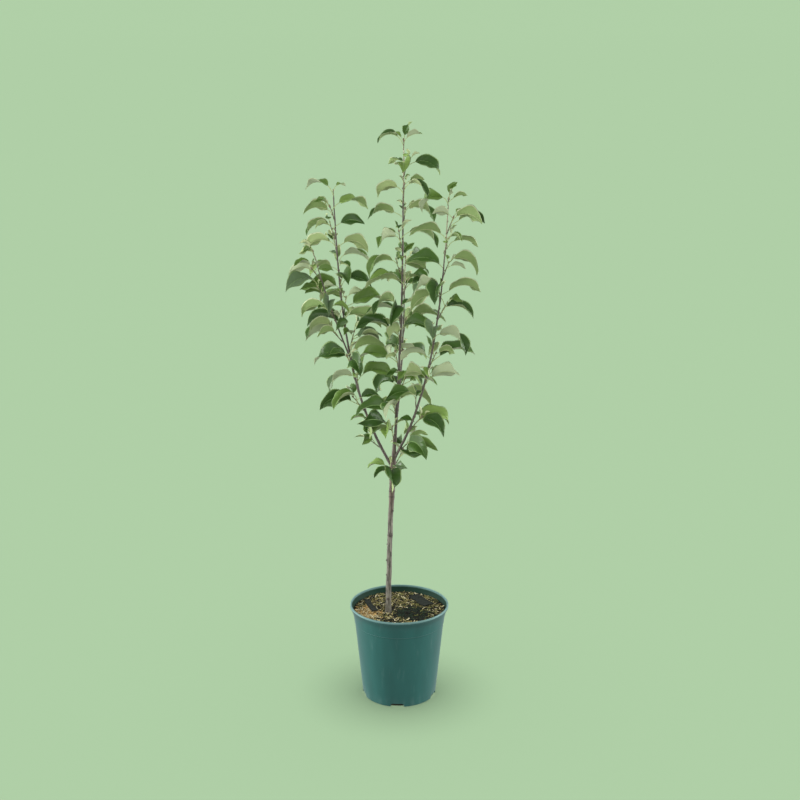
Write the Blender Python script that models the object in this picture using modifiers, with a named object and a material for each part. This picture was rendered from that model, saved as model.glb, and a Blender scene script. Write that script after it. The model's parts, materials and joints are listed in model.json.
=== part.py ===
"""Dwarf apple tree in a plastic nursery pot.

Metres, +Z up. The origin is the centre of the pot's flat underside, and -Y is the front.
The tree is a slim central leader with two rising boughs, a side shoot and a bough at the back.
Short leafy spurs stand along every limb, and each spur is one solid.
"""
import math
import random
from dataclasses import dataclass

import bmesh
import bpy
from mathutils import Matrix, Vector
from mathutils.bvhtree import BVHTree

# Clearance between solids that touch
GAP = 0.0003

# Pot
POT_HEIGHT = 0.242
FOOT_RADIUS = 0.0938
FOOT_EDGE = 0.0015
WALL_TAPER = 0.101
WALL = 0.0022
FLOOR = 0.003
RING_HEIGHT = 0.196
RING_STEP = 0.0009
BELL_FROM = 0.200
BELL_FLARE = 0.0056
BELL_STEPS = 3
BEAD_HEIGHT = 0.0075
BEAD = 0.0018
BEAD_EDGE = 0.0017
NOTCH_COUNT = 5
NOTCH_WIDTH = 0.034
NOTCH_HEIGHT = 0.009
NOTCH_DEPTH = 0.022
NOTCH_CORNER = 0.006
NOTCH_TURN = -93.0
TURNED_STEPS = 40

# Compost, and two flakes of bark on it: length, width, place and turn
COMPOST_TOP = 0.2245
FLAKE_THICK = 0.003
FLAKES = {
    "flake_left": (0.078, 0.017, -0.074, 0.018, 108.0),
    "flake_right": (0.074, 0.036, 0.058, 0.050, -58.0),
}

# Trunk: it swings over to the right as it rises, and runs on as the leader
TRUNK_FOOT = COMPOST_TOP + GAP
TRUNK_TIP = 1.382
SWING_AT = 0.70
SWING_OVER = 0.33
SWING_MIDDLE = Vector((-0.0095, -0.0120, 0.0))
SWING = Vector((0.0205, 0.0070, 0.0))
TRUNK_POINTS = 26
BOUGH_POINTS = 14
TRUNK_RADIUS = 0.0065
FORK_RADIUS = 0.0060
LEADER_RADIUS = 0.0036
TIP_RADIUS = 0.0013
FORK_FROM = 0.60
FORK_TO = 0.70
ROOT_FLARE = 0.0016
ROOT_FLARE_RISE = 0.016

# Spurs: short stems that carry the leaves
SPUR_LENGTH = 0.036
SPUR_RADIUS = 0.0015
SPUR_TIP_RADIUS = 0.00105
SPUR_LEAN = (15.0, 25.0)
SPUR_PLAY = 12.0
FIRST_NODE = 0.30
LAST_NODE = 0.96
TIP_STEM = 0.014
SPACE_BELOW = 0.085
SPACE_ABOVE = 0.120

# Leaves: sizes, then the ranges of their postures in degrees
FULL_LEAF = 0.084
YOUNG_LEAF = 0.047
TIP_SHRINK = 0.22
LEAF_WIDTH = 0.56
LEAF_THICK = 0.02
PETIOLE = 0.024
PETIOLE_RADIUS = 0.0009
PETIOLE_RISE = (28.0, 62.0)
BLADE_RISE = (14.0, 44.0)
BLADE_ARCH = (62.0, 112.0)
BLADE_FOLD = (22.0, 46.0)
BLADE_ROLL = (12.0, 58.0)
HEADING_SPREAD = 16.0
CLEAR = 0.0006
TRIES = 6

# A leaf's letter is its heading seen from above, from r for right round by b for back.
# A capital is a full-grown leaf, a small letter a young one, and u a bud leaf that stands up.
HEADINGS = {
    "r": 0.0,
    "a": 45.0,
    "b": 90.0,
    "c": 135.0,
    "l": 180.0,
    "d": 225.0,
    "f": 270.0,
    "e": 315.0,
    "u": 20.0,
}


@dataclass
class Limb:
    """A tapering limb that leaves its parent at a slant and turns upright.

    foot and rise are heights, reach is how far it would end up beside its parent's line, and
    bend is the height over which it turns upright. The plan has one word of leaves for each
    spur, from first_spur up to the limb's tip.
    """

    name: str
    parent: object
    foot: float
    rise: float
    reach: float
    bend: float
    heading: float
    foot_radius: float
    tip_radius: float
    first_spur: float
    plan: str

    @property
    def tip(self):
        return self.foot + self.rise

    def point(self, height):
        gained = height - self.foot
        out = self.reach * (1.0 - math.exp(-gained / self.bend))
        return self.parent.point(self.foot) + out * heading_vector(self.heading) + Vector((0.0, 0.0, gained))

    def radius(self, height):
        part = (height - self.foot) / self.rise
        return self.foot_radius + (self.tip_radius - self.foot_radius) * part**0.8

    def tangent(self, height):
        step = 0.002
        return (self.point(height + step) - self.point(height - step)).normalized()


class Trunk(Limb):
    """The trunk and leader, one stem with a slight swing and a flared foot."""

    def point(self, height):
        swing = math.tanh((height - SWING_AT) / SWING_OVER)
        return SWING_MIDDLE + swing * SWING + Vector((0.0, 0.0, height))

    def radius(self, height):
        if height < FORK_FROM:
            part = (height - self.foot) / (FORK_FROM - self.foot)
            flare = ROOT_FLARE * math.exp(-(height - self.foot) / ROOT_FLARE_RISE)
            return self.foot_radius + (FORK_RADIUS - self.foot_radius) * math.sqrt(part) + flare
        if height < FORK_TO:
            part = (height - FORK_FROM) / (FORK_TO - FORK_FROM)
            return FORK_RADIUS + (LEADER_RADIUS - FORK_RADIUS) * part
        part = (height - FORK_TO) / (self.tip - FORK_TO)
        return LEADER_RADIUS + (self.tip_radius - LEADER_RADIUS) * part


TRUNK = Trunk(
    "trunk", None, foot=TRUNK_FOOT, rise=TRUNK_TIP - TRUNK_FOOT, reach=0.0, bend=1.0, heading=0.0,
    foot_radius=TRUNK_RADIUS, tip_radius=TIP_RADIUS, first_spur=0.570,
    plan="Fdel ERcb FlDr LFcR REal LdBr FLEc LFrD RLEa RLbf DRlb LRba LEr FRcf Lru",
)
LEFT = Limb(
    "bough_left", TRUNK, foot=0.606, rise=0.660, reach=0.160, bend=0.228, heading=160.0,
    foot_radius=0.0037, tip_radius=0.0015, first_spur=0.660,
    plan="ldb FElc LDrb LReB FLRd REdB LFRb RCrd LRFe LfRB RLcb LRlf LRd La",
)
RIGHT = Limb(
    "bough_right", TRUNK, foot=0.628, rise=0.622, reach=0.152, bend=0.260, heading=-23.0,
    foot_radius=0.0034, tip_radius=0.0013, first_spur=0.665,
    plan="ErlB REb RLbf ELrf RLBe RFLc RaLe RFLc LrRb RfLe REl Lru",
)
SIDE = Limb(
    "shoot_left", LEFT, foot=0.872, rise=0.258, reach=0.310, bend=0.640, heading=219.0,
    foot_radius=0.0022, tip_radius=0.0013, first_spur=0.930,
    plan="LdDb LdrF laD Lrd ldc",
)
BACK = Limb(
    "bough_back", TRUNK, foot=0.700, rise=0.400, reach=0.135, bend=0.200, heading=78.0,
    foot_radius=0.0028, tip_radius=0.0013, first_spur=0.765,
    plan="BCa ABlc BcRa CaBl ABu",
)
LIMBS = (TRUNK, LEFT, RIGHT, SIDE, BACK)


def heading_vector(degrees):
    turn = math.radians(degrees)
    return Vector((math.cos(turn), math.sin(turn), 0.0))


def clear_scene():
    for thing in list(bpy.data.objects):
        bpy.data.objects.remove(thing, do_unlink=True)


def make_collection(name):
    collection = bpy.data.collections.new(name)
    bpy.context.scene.collection.children.link(collection)
    return collection


def make_material(name, colour, roughness):
    material = bpy.data.materials.new(name)
    material.use_nodes = True
    shader = material.node_tree.nodes["Principled BSDF"]
    shader.inputs["Base Color"].default_value = (*colour, 1.0)
    shader.inputs["Roughness"].default_value = roughness
    shader.inputs["Metallic"].default_value = 0.0
    return material


def add_object(name, mesh, collection, material):
    thing = bpy.data.objects.new(name, mesh)
    collection.objects.link(thing)
    mesh.materials.clear()
    mesh.materials.append(material)
    return thing


def place_origin(thing, point):
    """Puts an object's origin at a point, with its mesh left where it is."""
    thing.data.transform(Matrix.Translation(-point))
    thing.location = point


def evaluated_mesh(thing):
    bpy.context.view_layer.update()
    graph = bpy.context.evaluated_depsgraph_get()
    return bpy.data.meshes.new_from_object(thing.evaluated_get(graph))


def mesh_from(bm, name):
    mesh = bpy.data.meshes.new(name)
    bm.to_mesh(mesh)
    bm.free()
    return mesh


def turned(name, profile, closed, collection, material):
    """Turns a profile of (radius, height) pairs about Z."""
    points = [(radius, 0.0, height) for radius, height in profile]
    edges = [(i, i + 1) for i in range(len(points) - 1)]
    if closed:
        edges.append((len(points) - 1, 0))
    mesh = bpy.data.meshes.new(name)
    mesh.from_pydata(points, edges, [])
    thing = add_object(name, mesh, collection, material)
    screw = thing.modifiers.new("Turn", "SCREW")
    screw.steps = TURNED_STEPS
    screw.render_steps = TURNED_STEPS
    screw.use_merge_vertices = True
    screw.merge_threshold = 0.00002
    return thing


def wall_radius(height):
    """Outer radius of the pot's wall, with its ring step and bell-shaped rim."""
    radius = FOOT_RADIUS + WALL_TAPER * height
    if height > RING_HEIGHT:
        radius += RING_STEP
    if height > BELL_FROM:
        part = (height - BELL_FROM) / (POT_HEIGHT - BEAD_HEIGHT - BELL_FROM)
        radius += BELL_FLARE * part * part
    return radius


def bell_heights():
    """Heights at which the bell-shaped rim is drawn, from the bead down."""
    bead_foot = POT_HEIGHT - BEAD_HEIGHT
    return [bead_foot + (BELL_FROM - bead_foot) * i / BELL_STEPS for i in range(BELL_STEPS + 1)]


def notch_cutter(number, collection, material):
    """A block with rounded top edges that cuts one drain notch through the foot."""
    bm = bmesh.new()
    bmesh.ops.create_cube(bm, size=1.0)
    bmesh.ops.scale(bm, vec=(NOTCH_DEPTH, NOTCH_WIDTH, 2.0 * NOTCH_HEIGHT), verts=bm.verts)
    tops = []
    for edge in bm.edges:
        start, end = (v.co for v in edge.verts)
        if start.z > 0.0 and end.z > 0.0 and abs(start.x - end.x) > 0.5 * NOTCH_DEPTH:
            tops.append(edge)
    bmesh.ops.bevel(bm, geom=tops, offset=NOTCH_CORNER, segments=3, affect="EDGES", profile=0.5)
    cutter = add_object(f"notch_cutter_{number + 1}", mesh_from(bm, "notch_cutter"), collection, material)
    turn = NOTCH_TURN + 360.0 * number / NOTCH_COUNT
    cutter.location = FOOT_RADIUS * heading_vector(turn)
    cutter.rotation_euler = (0.0, 0.0, math.radians(turn))
    cutter.hide_render = True
    cutter.display_type = "WIRE"
    return cutter


def make_pot(parts, cutters, material):
    bead_foot = POT_HEIGHT - BEAD_HEIGHT
    lip = wall_radius(bead_foot) + BEAD
    bead = [
        (lip - BEAD_EDGE, POT_HEIGHT),
        (lip, POT_HEIGHT - BEAD_EDGE),
        (lip, bead_foot + BEAD),
    ]
    upper = [(wall_radius(h), h) for h in bell_heights()]
    upper.append((wall_radius(RING_HEIGHT) + RING_STEP, RING_HEIGHT))
    lower = [
        (wall_radius(RING_HEIGHT - RING_STEP), RING_HEIGHT - RING_STEP),
        (wall_radius(FLOOR), FLOOR),
        (FOOT_RADIUS - FOOT_EDGE, 0.0),
    ]
    inside = [(0.0, 0.0), (0.0, FLOOR), (wall_radius(FLOOR) - WALL, FLOOR)]
    inside += [(radius - WALL, height) for radius, height in reversed(upper)]
    inside.append((lip - BEAD_EDGE - WALL, POT_HEIGHT - 0.5 * BEAD_EDGE))
    pot = turned("pot", bead + upper + lower + inside, True, parts, material)
    for number in range(NOTCH_COUNT):
        cut = pot.modifiers.new(f"Notch {number + 1}", "BOOLEAN")
        cut.operation = "DIFFERENCE"
        cut.object = notch_cutter(number, cutters, material)
    return pot


def make_compost(parts, material):
    """The root ball, which fills the pot up to its level top."""
    heights = [COMPOST_TOP] + [h for h in bell_heights() if h < COMPOST_TOP]
    heights += [RING_HEIGHT - RING_STEP, FLOOR + GAP]
    profile = [(0.0, COMPOST_TOP)]
    profile += [(wall_radius(h) - WALL - GAP, h) for h in heights]
    profile.append((0.0, FLOOR + GAP))
    return turned("compost", profile, False, parts, material)


def make_flake(name, parts, material):
    """A thin flake of bark lying flat on the compost, with cut corners."""
    length, width, x, y, turn = FLAKES[name]
    bm = bmesh.new()
    bmesh.ops.create_cube(bm, size=1.0)
    bmesh.ops.scale(bm, vec=(length, width, FLAKE_THICK), verts=bm.verts)
    upright = [e for e in bm.edges if abs(e.verts[0].co.z - e.verts[1].co.z) > 0.5 * FLAKE_THICK]
    bmesh.ops.bevel(bm, geom=upright, offset=0.2 * width, segments=1, affect="EDGES")
    flake = add_object(name, mesh_from(bm, name), parts, material)
    flake.location = (x, y, COMPOST_TOP + GAP + FLAKE_THICK / 2.0)
    flake.rotation_euler = (0.0, 0.0, math.radians(turn))
    return flake


def limb_mesh(limb, extra=0.0):
    """A closed tapering tube along a limb, from a bevelled curve."""
    count = BOUGH_POINTS
    if limb.parent is None:
        count = TRUNK_POINTS
    heights = [limb.foot + limb.rise * i / (count - 1) for i in range(count)]
    if limb.parent is None:
        heights.insert(1, limb.foot + ROOT_FLARE_RISE)
    curve = bpy.data.curves.new(limb.name, "CURVE")
    curve.dimensions = "3D"
    curve.bevel_depth = 1.0
    curve.bevel_resolution = 2
    curve.use_fill_caps = True
    spline = curve.splines.new("POLY")
    spline.points.add(len(heights) - 1)
    for target, height in zip(spline.points, heights):
        target.co = (*limb.point(height), 1.0)
        target.radius = limb.radius(height) + extra
    guide = bpy.data.objects.new(limb.name, curve)
    bpy.context.scene.collection.objects.link(guide)
    mesh = evaluated_mesh(guide)
    bpy.data.objects.remove(guide, do_unlink=True)
    bpy.data.curves.remove(curve)
    bm = bmesh.new()
    bm.from_mesh(mesh)
    bmesh.ops.remove_doubles(bm, verts=bm.verts, dist=1e-6)
    bmesh.ops.recalc_face_normals(bm, faces=bm.faces)
    bm.to_mesh(mesh)
    bm.free()
    return mesh


def face_pieces(bm):
    """Groups of faces that hang together across their edges, smallest first."""
    unseen = set(bm.faces)
    pieces = []
    while unseen:
        front = [unseen.pop()]
        piece = list(front)
        while front:
            for edge in front.pop().edges:
                for face in edge.link_faces:
                    if face in unseen:
                        unseen.remove(face)
                        piece.append(face)
                        front.append(face)
        pieces.append(piece)
    return sorted(pieces, key=len)


def keep_largest_piece(mesh):
    """Drops every loose scrap of a mesh but its largest connected piece."""
    bm = bmesh.new()
    bm.from_mesh(mesh)
    scraps = [face for piece in face_pieces(bm)[:-1] for face in piece]
    bmesh.ops.delete(bm, geom=scraps, context="FACES")
    bm.to_mesh(mesh)
    bm.free()


def is_one_body(mesh):
    """True for a closed mesh in one connected piece."""
    bm = bmesh.new()
    bm.from_mesh(mesh)
    closed = all(edge.is_manifold for edge in bm.edges) and all(v.is_manifold for v in bm.verts)
    single = closed and len(face_pieces(bm)) == 1
    bm.free()
    return single


def boolean_mesh(base, operation, operands, solver):
    """The mesh of base joined with, or cut by, a collection of operands."""
    group = bpy.data.collections.new("operands")
    for operand in operands:
        group.objects.link(operand)
    step = base.modifiers.new("Join", "BOOLEAN")
    step.operation = operation
    step.operand_type = "COLLECTION"
    step.collection = group
    step.solver = solver
    mesh = evaluated_mesh(base)
    base.modifiers.remove(step)
    bpy.data.collections.remove(group)
    bm = bmesh.new()
    bm.from_mesh(mesh)
    bmesh.ops.remove_doubles(bm, verts=bm.verts, dist=1e-6)
    bm.to_mesh(mesh)
    bm.free()
    return mesh


def make_bough(limb, parts, material):
    """A bough whose foot is cut to the curve of its parent's bark, a gap clear of it."""
    whole = add_object("whole", limb_mesh(limb), parts, material)
    swollen = add_object("swollen", limb_mesh(limb.parent, GAP), parts, material)
    mesh = boolean_mesh(whole, "DIFFERENCE", [swollen], "EXACT")
    keep_largest_piece(mesh)
    for thing in (whole, swollen):
        bpy.data.objects.remove(thing, do_unlink=True)
    bough = add_object(limb.name, mesh, parts, material)
    return bough


def outline(along):
    """Half-width of an apple leaf along its length: rounded foot, drawn-out tip."""
    return math.sin(math.pi * along**0.86) ** 0.75 * (1.0 - 0.30 * along**3)


def rod(start, end, first, last):
    """A three-sided tapering rod from start to end."""
    bm = bmesh.new()
    depth = (end - start).length
    bmesh.ops.create_cone(bm, cap_ends=True, segments=3, radius1=first, radius2=last, depth=depth)
    turn = (end - start).to_track_quat("Z", "Y").to_matrix().to_4x4()
    bmesh.ops.transform(bm, matrix=Matrix.Translation((start + end) / 2.0) @ turn, verts=bm.verts)
    return bm


class Leaf:
    """One leaf: where it springs from, how it is held, and the arch of its blade."""

    def __init__(self, key, letter, node, scale, attempt):
        rule = random.Random(f"{key} {attempt}")
        young = letter.islower()
        spread = HEADING_SPREAD * (1.0 + 0.6 * attempt)
        self.length = (YOUNG_LEAF if young else FULL_LEAF) * scale * rule.uniform(0.86, 1.14)
        self.width = self.length * LEAF_WIDTH * rule.uniform(0.88, 1.06)
        self.out = heading_vector(HEADINGS[letter.lower()] + rule.uniform(-spread, spread))
        rise = math.radians(rule.uniform(*PETIOLE_RISE))
        self.start = math.radians(rule.uniform(*BLADE_RISE))
        self.arch = math.radians(rule.uniform(*BLADE_ARCH)) * (0.75 if young else 1.0)
        self.fold = math.radians(rule.uniform(*BLADE_FOLD))
        self.roll = math.radians(rule.uniform(*BLADE_ROLL)) * rule.choice((-1.0, 1.0))
        stalk = PETIOLE * rule.uniform(0.75, 1.2) * (0.6 if young else 1.0)
        if letter == "u":
            rise = math.radians(80.0)
            self.start = math.radians(78.0)
        self.node = node
        self.base = node + stalk * (math.cos(rise) * self.out + Vector((0.0, 0.0, math.sin(rise))))

    def centre(self, along):
        """Point of the midrib, which bends down on an arc."""
        span = self.length / self.arch
        slope = self.start - self.arch * along
        across = span * (math.sin(self.start) - math.sin(slope))
        up = span * (math.cos(slope) - math.cos(self.start))
        return self.base + across * self.out + Vector((0.0, 0.0, up))

    def axes(self, along):
        """Side and face directions of the blade at a place on the midrib."""
        slope = self.start - self.arch * along
        tangent = math.cos(slope) * self.out + Vector((0.0, 0.0, math.sin(slope)))
        side = Vector((-self.out.y, self.out.x, 0.0))
        twist = Matrix.Rotation(self.roll, 3, tangent)
        return twist @ side, twist @ tangent.cross(side)

    def blade(self, margin=0.0):
        """A lens-shaped blade folded up along its midrib, from an eight-sided sphere."""
        bm = bmesh.new()
        bmesh.ops.create_uvsphere(bm, u_segments=4, v_segments=4, radius=1.0)
        for vertex in bm.verts:
            x, y, z = vertex.co
            along = math.acos(max(-1.0, min(1.0, -z))) / math.pi
            ring = max(math.sqrt(max(0.0, 1.0 - z * z)), 1e-3)
            side, face = self.axes(along)
            half = 0.5 * self.width * outline(along) + margin
            thick = 0.5 * LEAF_THICK * self.length * math.sqrt(math.sin(math.pi * along)) + margin
            place = self.centre(along + (2.0 * along - 1.0) * margin / self.length)
            place += x / ring * half * math.cos(self.fold) * side
            place += abs(x) / ring * half * math.sin(self.fold) * face
            vertex.co = place + y / ring * thick * face
        return bm

    def petiole(self, margin=0.0):
        """A three-sided stalk, sunk into the foot of the blade."""
        first = PETIOLE_RADIUS + margin
        last = 0.8 * PETIOLE_RADIUS + margin
        return rod(self.node, self.centre(0.12), first, last)


def search_tree(*shapes):
    """One search tree over the faces of several shapes, which are freed."""
    points = []
    faces = []
    for bm in shapes:
        first = len(points)
        bm.verts.index_update()
        points += [vertex.co.copy() for vertex in bm.verts]
        faces += [[first + vertex.index for vertex in face.verts] for face in bm.faces]
        bm.free()
    return BVHTree.FromPolygons(points, faces)


def mesh_search_tree(mesh):
    bm = bmesh.new()
    bm.from_mesh(mesh)
    return search_tree(bm)


def spur_places(limb):
    """Height and word of each spur, evenly spaced with some play up to the limb's tip."""
    words = limb.plan.split()
    step = (limb.tip - limb.first_spur) / (len(words) - 1)
    rule = random.Random(limb.name)
    heights = [limb.first_spur + step * (i + rule.uniform(-0.16, 0.16)) for i in range(len(words) - 1)]
    return zip(heights + [limb.tip], words)


def word_heading(word):
    """Heading in degrees that a word's leaves pull towards, the full-grown ones twice as much."""
    pull = Vector((0.0, 0.0, 0.0))
    for letter in word:
        weight = 1.0 if letter.isupper() else 0.5
        pull += weight * heading_vector(HEADINGS[letter.lower()])
    return math.degrees(math.atan2(pull.y, pull.x))


class Spur:
    """A short leafy stem on a limb, or the bud at its tip."""

    def __init__(self, limb, number, height, word):
        self.name = f"spur_{limb.name}_{number:02d}"
        self.word = word
        part = (height - limb.first_spur) / (limb.tip - limb.first_spur)
        self.scale = 1.0 - TIP_SHRINK * max(0.0, 2.0 * part - 1.0)
        self.leaves = []
        tangent = limb.tangent(height)
        if height == limb.tip:
            self.radius = limb.tip_radius
            self.start = limb.point(height) + GAP * tangent
            self.end = self.start + TIP_STEM * tangent
            return
        rule = random.Random(self.name)
        heading = heading_vector(word_heading(word) + rule.uniform(-SPUR_PLAY, SPUR_PLAY))
        heading = (heading - heading.dot(tangent) * tangent).normalized()
        lean = math.radians(rule.uniform(*SPUR_LEAN))
        length = SPUR_LENGTH * rule.uniform(0.8, 1.15)
        self.radius = SPUR_RADIUS
        self.start = limb.point(height) + (limb.radius(height) + GAP + SPUR_RADIUS) * heading
        self.end = self.start + length * (math.cos(lean) * tangent + math.sin(lean) * heading)

    def stem(self, margin=0.0):
        return rod(self.start, self.end, self.radius + margin, SPUR_TIP_RADIUS + margin)

    def grow(self, obstacles):
        """Gives the spur each leaf of its word that keeps to its space and touches nothing."""
        taken = []
        for place, letter in enumerate(self.word):
            share = FIRST_NODE + (LAST_NODE - FIRST_NODE) * place / (len(self.word) - 1)
            node = self.start.lerp(self.end, share)
            for attempt in range(TRIES):
                leaf = Leaf(f"{self.name} {place}", letter, node, self.scale, attempt)
                if not -SPACE_BELOW < leaf.centre(1.0).z - self.start.z < SPACE_ABOVE:
                    continue
                blade = search_tree(leaf.blade(CLEAR))
                whole = search_tree(leaf.blade(CLEAR), leaf.petiole(CLEAR))
                touched = any(whole.overlap(other) for other in obstacles)
                if not touched and not any(blade.overlap(other) for other in taken):
                    self.leaves.append(leaf)
                    taken.append(whole)
                    break

    def make(self, parts, material):
        """The stem, its petioles and its blades, fused into one solid."""
        shapes = [self.stem()]
        for leaf in self.leaves:
            shapes += [leaf.blade(), leaf.petiole()]
        pieces = [add_object("piece", mesh_from(bm, "piece"), parts, material) for bm in shapes]
        for solver in ("EXACT", "MANIFOLD"):
            mesh = boolean_mesh(pieces[0], "UNION", pieces[1:], solver)
            if is_one_body(mesh):
                break
        keep_largest_piece(mesh)
        for piece in pieces:
            bpy.data.objects.remove(piece, do_unlink=True)
        return add_object(self.name, mesh, parts, material)


def make_tree(parts, bark, green):
    """Limbs first, then the spurs, which keep clear of them and of each other."""
    trunk = add_object("trunk", limb_mesh(TRUNK), parts, bark)
    limbs = [trunk] + [make_bough(limb, parts, bark) for limb in LIMBS[1:]]
    obstacles = [mesh_search_tree(thing.data) for thing in limbs]
    for thing, limb in zip(limbs, LIMBS):
        place_origin(thing, limb.point(limb.foot))
    spurs = []
    for limb in LIMBS:
        for number, (height, word) in enumerate(spur_places(limb), start=1):
            spurs.append(Spur(limb, number, height, word))
    stems = {spur.name: search_tree(spur.stem(CLEAR)) for spur in spurs}
    things = []
    for spur in spurs:
        del stems[spur.name]
        spur.grow(obstacles + list(stems.values()))
        thing = spur.make(parts, green)
        obstacles.append(mesh_search_tree(thing.data))
        place_origin(thing, spur.start)
        things.append(thing)
    return limbs + things


def main():
    clear_scene()
    parts = make_collection("apple_tree_in_pot")
    cutters = make_collection("cutters")
    plastic = make_material("pot plastic", (0.035, 0.115, 0.105), 0.38)
    peat = make_material("compost", (0.22, 0.15, 0.07), 0.95)
    flake_bark = make_material("bark flake", (0.030, 0.030, 0.034), 0.85)
    bark = make_material("tree bark", (0.115, 0.090, 0.085), 0.75)
    green = make_material("leaf", (0.085, 0.190, 0.050), 0.50)

    things = [make_pot(parts, cutters, plastic), make_compost(parts, peat)]
    things += [make_flake(name, parts, flake_bark) for name in FLAKES]
    things += make_tree(parts, bark, green)

    plant = bpy.data.objects.new("plant", None)
    parts.objects.link(plant)
    for thing in things:
        thing.parent = plant
        thing.data.shade_smooth()
        thing.data.set_sharp_from_angle(angle=math.radians(35.0))


main()
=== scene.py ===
"""Looks of a young dwarf apple tree in a plastic nursery pot.

Run as a script, it registers one operator for each group of pieces and calls them in order.
The tree grows by the same rule and the same seeds as its solids, carried on to finer bark,
stalks, buds and leaves. Metres, +Z up, and -Y is the front.
"""
import functools
import json
import math
import random
from dataclasses import dataclass

import bmesh
import bpy
from mathutils import Matrix, Vector, noise
from mathutils.kdtree import KDTree

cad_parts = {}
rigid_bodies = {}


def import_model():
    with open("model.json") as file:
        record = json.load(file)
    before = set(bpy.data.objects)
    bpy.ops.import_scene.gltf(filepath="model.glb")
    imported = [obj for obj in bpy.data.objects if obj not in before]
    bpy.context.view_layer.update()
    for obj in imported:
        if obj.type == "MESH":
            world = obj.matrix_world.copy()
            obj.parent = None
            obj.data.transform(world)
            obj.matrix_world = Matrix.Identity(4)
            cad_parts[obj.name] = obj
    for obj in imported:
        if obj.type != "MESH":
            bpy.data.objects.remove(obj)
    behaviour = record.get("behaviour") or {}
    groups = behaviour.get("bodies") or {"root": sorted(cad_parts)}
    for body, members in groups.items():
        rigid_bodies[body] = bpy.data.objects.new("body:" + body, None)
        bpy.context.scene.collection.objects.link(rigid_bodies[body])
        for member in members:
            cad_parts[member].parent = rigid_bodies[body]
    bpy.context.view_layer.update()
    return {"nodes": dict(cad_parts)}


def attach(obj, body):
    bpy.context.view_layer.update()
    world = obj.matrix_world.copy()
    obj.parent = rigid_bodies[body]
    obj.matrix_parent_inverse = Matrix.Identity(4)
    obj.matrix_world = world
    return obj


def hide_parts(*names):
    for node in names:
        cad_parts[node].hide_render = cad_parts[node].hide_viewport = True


bl_info = {
    "name": "Potted apple tree looks",
    "version": (1, 0, 0),
    "blender": (4, 5, 0),
    "location": "View3D > Sidebar > Apple tree",
    "description": "Makes the pot, compost, bark, leaves and stage of a potted dwarf apple tree",
    "category": "Add Mesh",
}

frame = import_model()
BODY = "root"

# Sizes that the solids have too
GAP = 0.0003

# Pot
POT_HEIGHT = 0.242
FOOT_RADIUS = 0.0938
FOOT_EDGE = 0.0015
WALL_TAPER = 0.101
WALL = 0.0022
FLOOR = 0.003
RING_HEIGHT = 0.196
RING_STEP = 0.0009
BELL_FROM = 0.200
BELL_FLARE = 0.0056
BEAD_HEIGHT = 0.0075
BEAD = 0.0018
BEAD_EDGE = 0.0017
NOTCH_COUNT = 5
NOTCH_WIDTH = 0.034
NOTCH_HEIGHT = 0.009
NOTCH_DEPTH = 0.022
NOTCH_CORNER = 0.006
NOTCH_TURN = -93.0

# Compost, and two flakes of bark on it: length, width, place and turn
COMPOST_TOP = 0.2245
FLAKES = {
    "flake_left": (0.078, 0.017, -0.074, 0.018, 108.0),
    "flake_right": (0.074, 0.036, 0.058, 0.050, -58.0),
}

# Trunk: it swings over to the right as it rises, and runs on as the leader
TRUNK_FOOT = COMPOST_TOP + GAP
TRUNK_TIP = 1.382
SWING_AT = 0.70
SWING_OVER = 0.33
SWING_MIDDLE = Vector((-0.0095, -0.0120, 0.0))
SWING = Vector((0.0205, 0.0070, 0.0))
TRUNK_RADIUS = 0.0065
FORK_RADIUS = 0.0060
LEADER_RADIUS = 0.0036
TIP_RADIUS = 0.0013
FORK_FROM = 0.60
FORK_TO = 0.70
ROOT_FLARE = 0.0016
ROOT_FLARE_RISE = 0.016

# Spurs: short stems that carry the leaves
SPUR_LENGTH = 0.036
SPUR_RADIUS = 0.0015
SPUR_LEAN = (15.0, 25.0)
SPUR_PLAY = 12.0
FIRST_NODE = 0.30
LAST_NODE = 0.96
TIP_STEM = 0.014
SPACING_PLAY = 0.16

# Leaves: sizes, then the ranges of their postures in degrees
FULL_LEAF = 0.084
YOUNG_LEAF = 0.047
TIP_SHRINK = 0.22
LEAF_WIDTH = 0.56
PETIOLE = 0.024
PETIOLE_RADIUS = 0.0009
PETIOLE_RISE = (28.0, 62.0)
BLADE_RISE = (14.0, 44.0)
BLADE_ARCH = (62.0, 112.0)
BLADE_FOLD = (22.0, 46.0)
BLADE_ROLL = (12.0, 58.0)
HEADING_SPREAD = 16.0
TRIES = 6

# A leaf's letter is its heading seen from above, from r for right round by b for back.
# A capital is a full-grown leaf, a small letter a young one, and u a bud leaf that stands up.
HEADINGS = {
    "r": 0.0,
    "a": 45.0,
    "b": 90.0,
    "c": 135.0,
    "l": 180.0,
    "d": 225.0,
    "f": 270.0,
    "e": 315.0,
    "u": 20.0,
}

# Pot, finer than the solid: steps around, steps of its rounded corners, bevel, and angles of
# bevelled and of sharp edges
POT_STEPS = 144
CORNER_STEPS = 6
NOTCH_BEVEL = 0.0005
BEVEL_ANGLE = 55.0
SHARP_ANGLE = 32.0

# Chips on the compost: how many shapes, slimness of each kind, range of sizes and of lifts
CHIP_SHAPES = 12
CHIP_WIDTHS = (0.08, 0.11, 0.15, 0.20, 0.28)
CHIP_SIZES = (0.40, 1.30)
CHIP_LIFTS = (0.0003, 0.0030)

# Finishes of the chips by zone, and places of two coloured patches with the radii over which
# they fade
STRAW, OLIVE, PALE, RUST, WET, MOSS = range(6)
RUSTY_PLACE = (-0.088, -0.030, COMPOST_TOP)
RUSTY_FADE = (0.052, 0.030)
MOSSY_PLACE = (0.036, -0.030, COMPOST_TOP)
MOSSY_FADE = (0.055, 0.030)

# Flakes of bark, finer than the solids: grid, thickness and height above the compost
FLAKE_GRID = (22, 12)
FLAKE_THICK = 0.0022
FLAKE_LIFT = 0.0034

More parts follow.
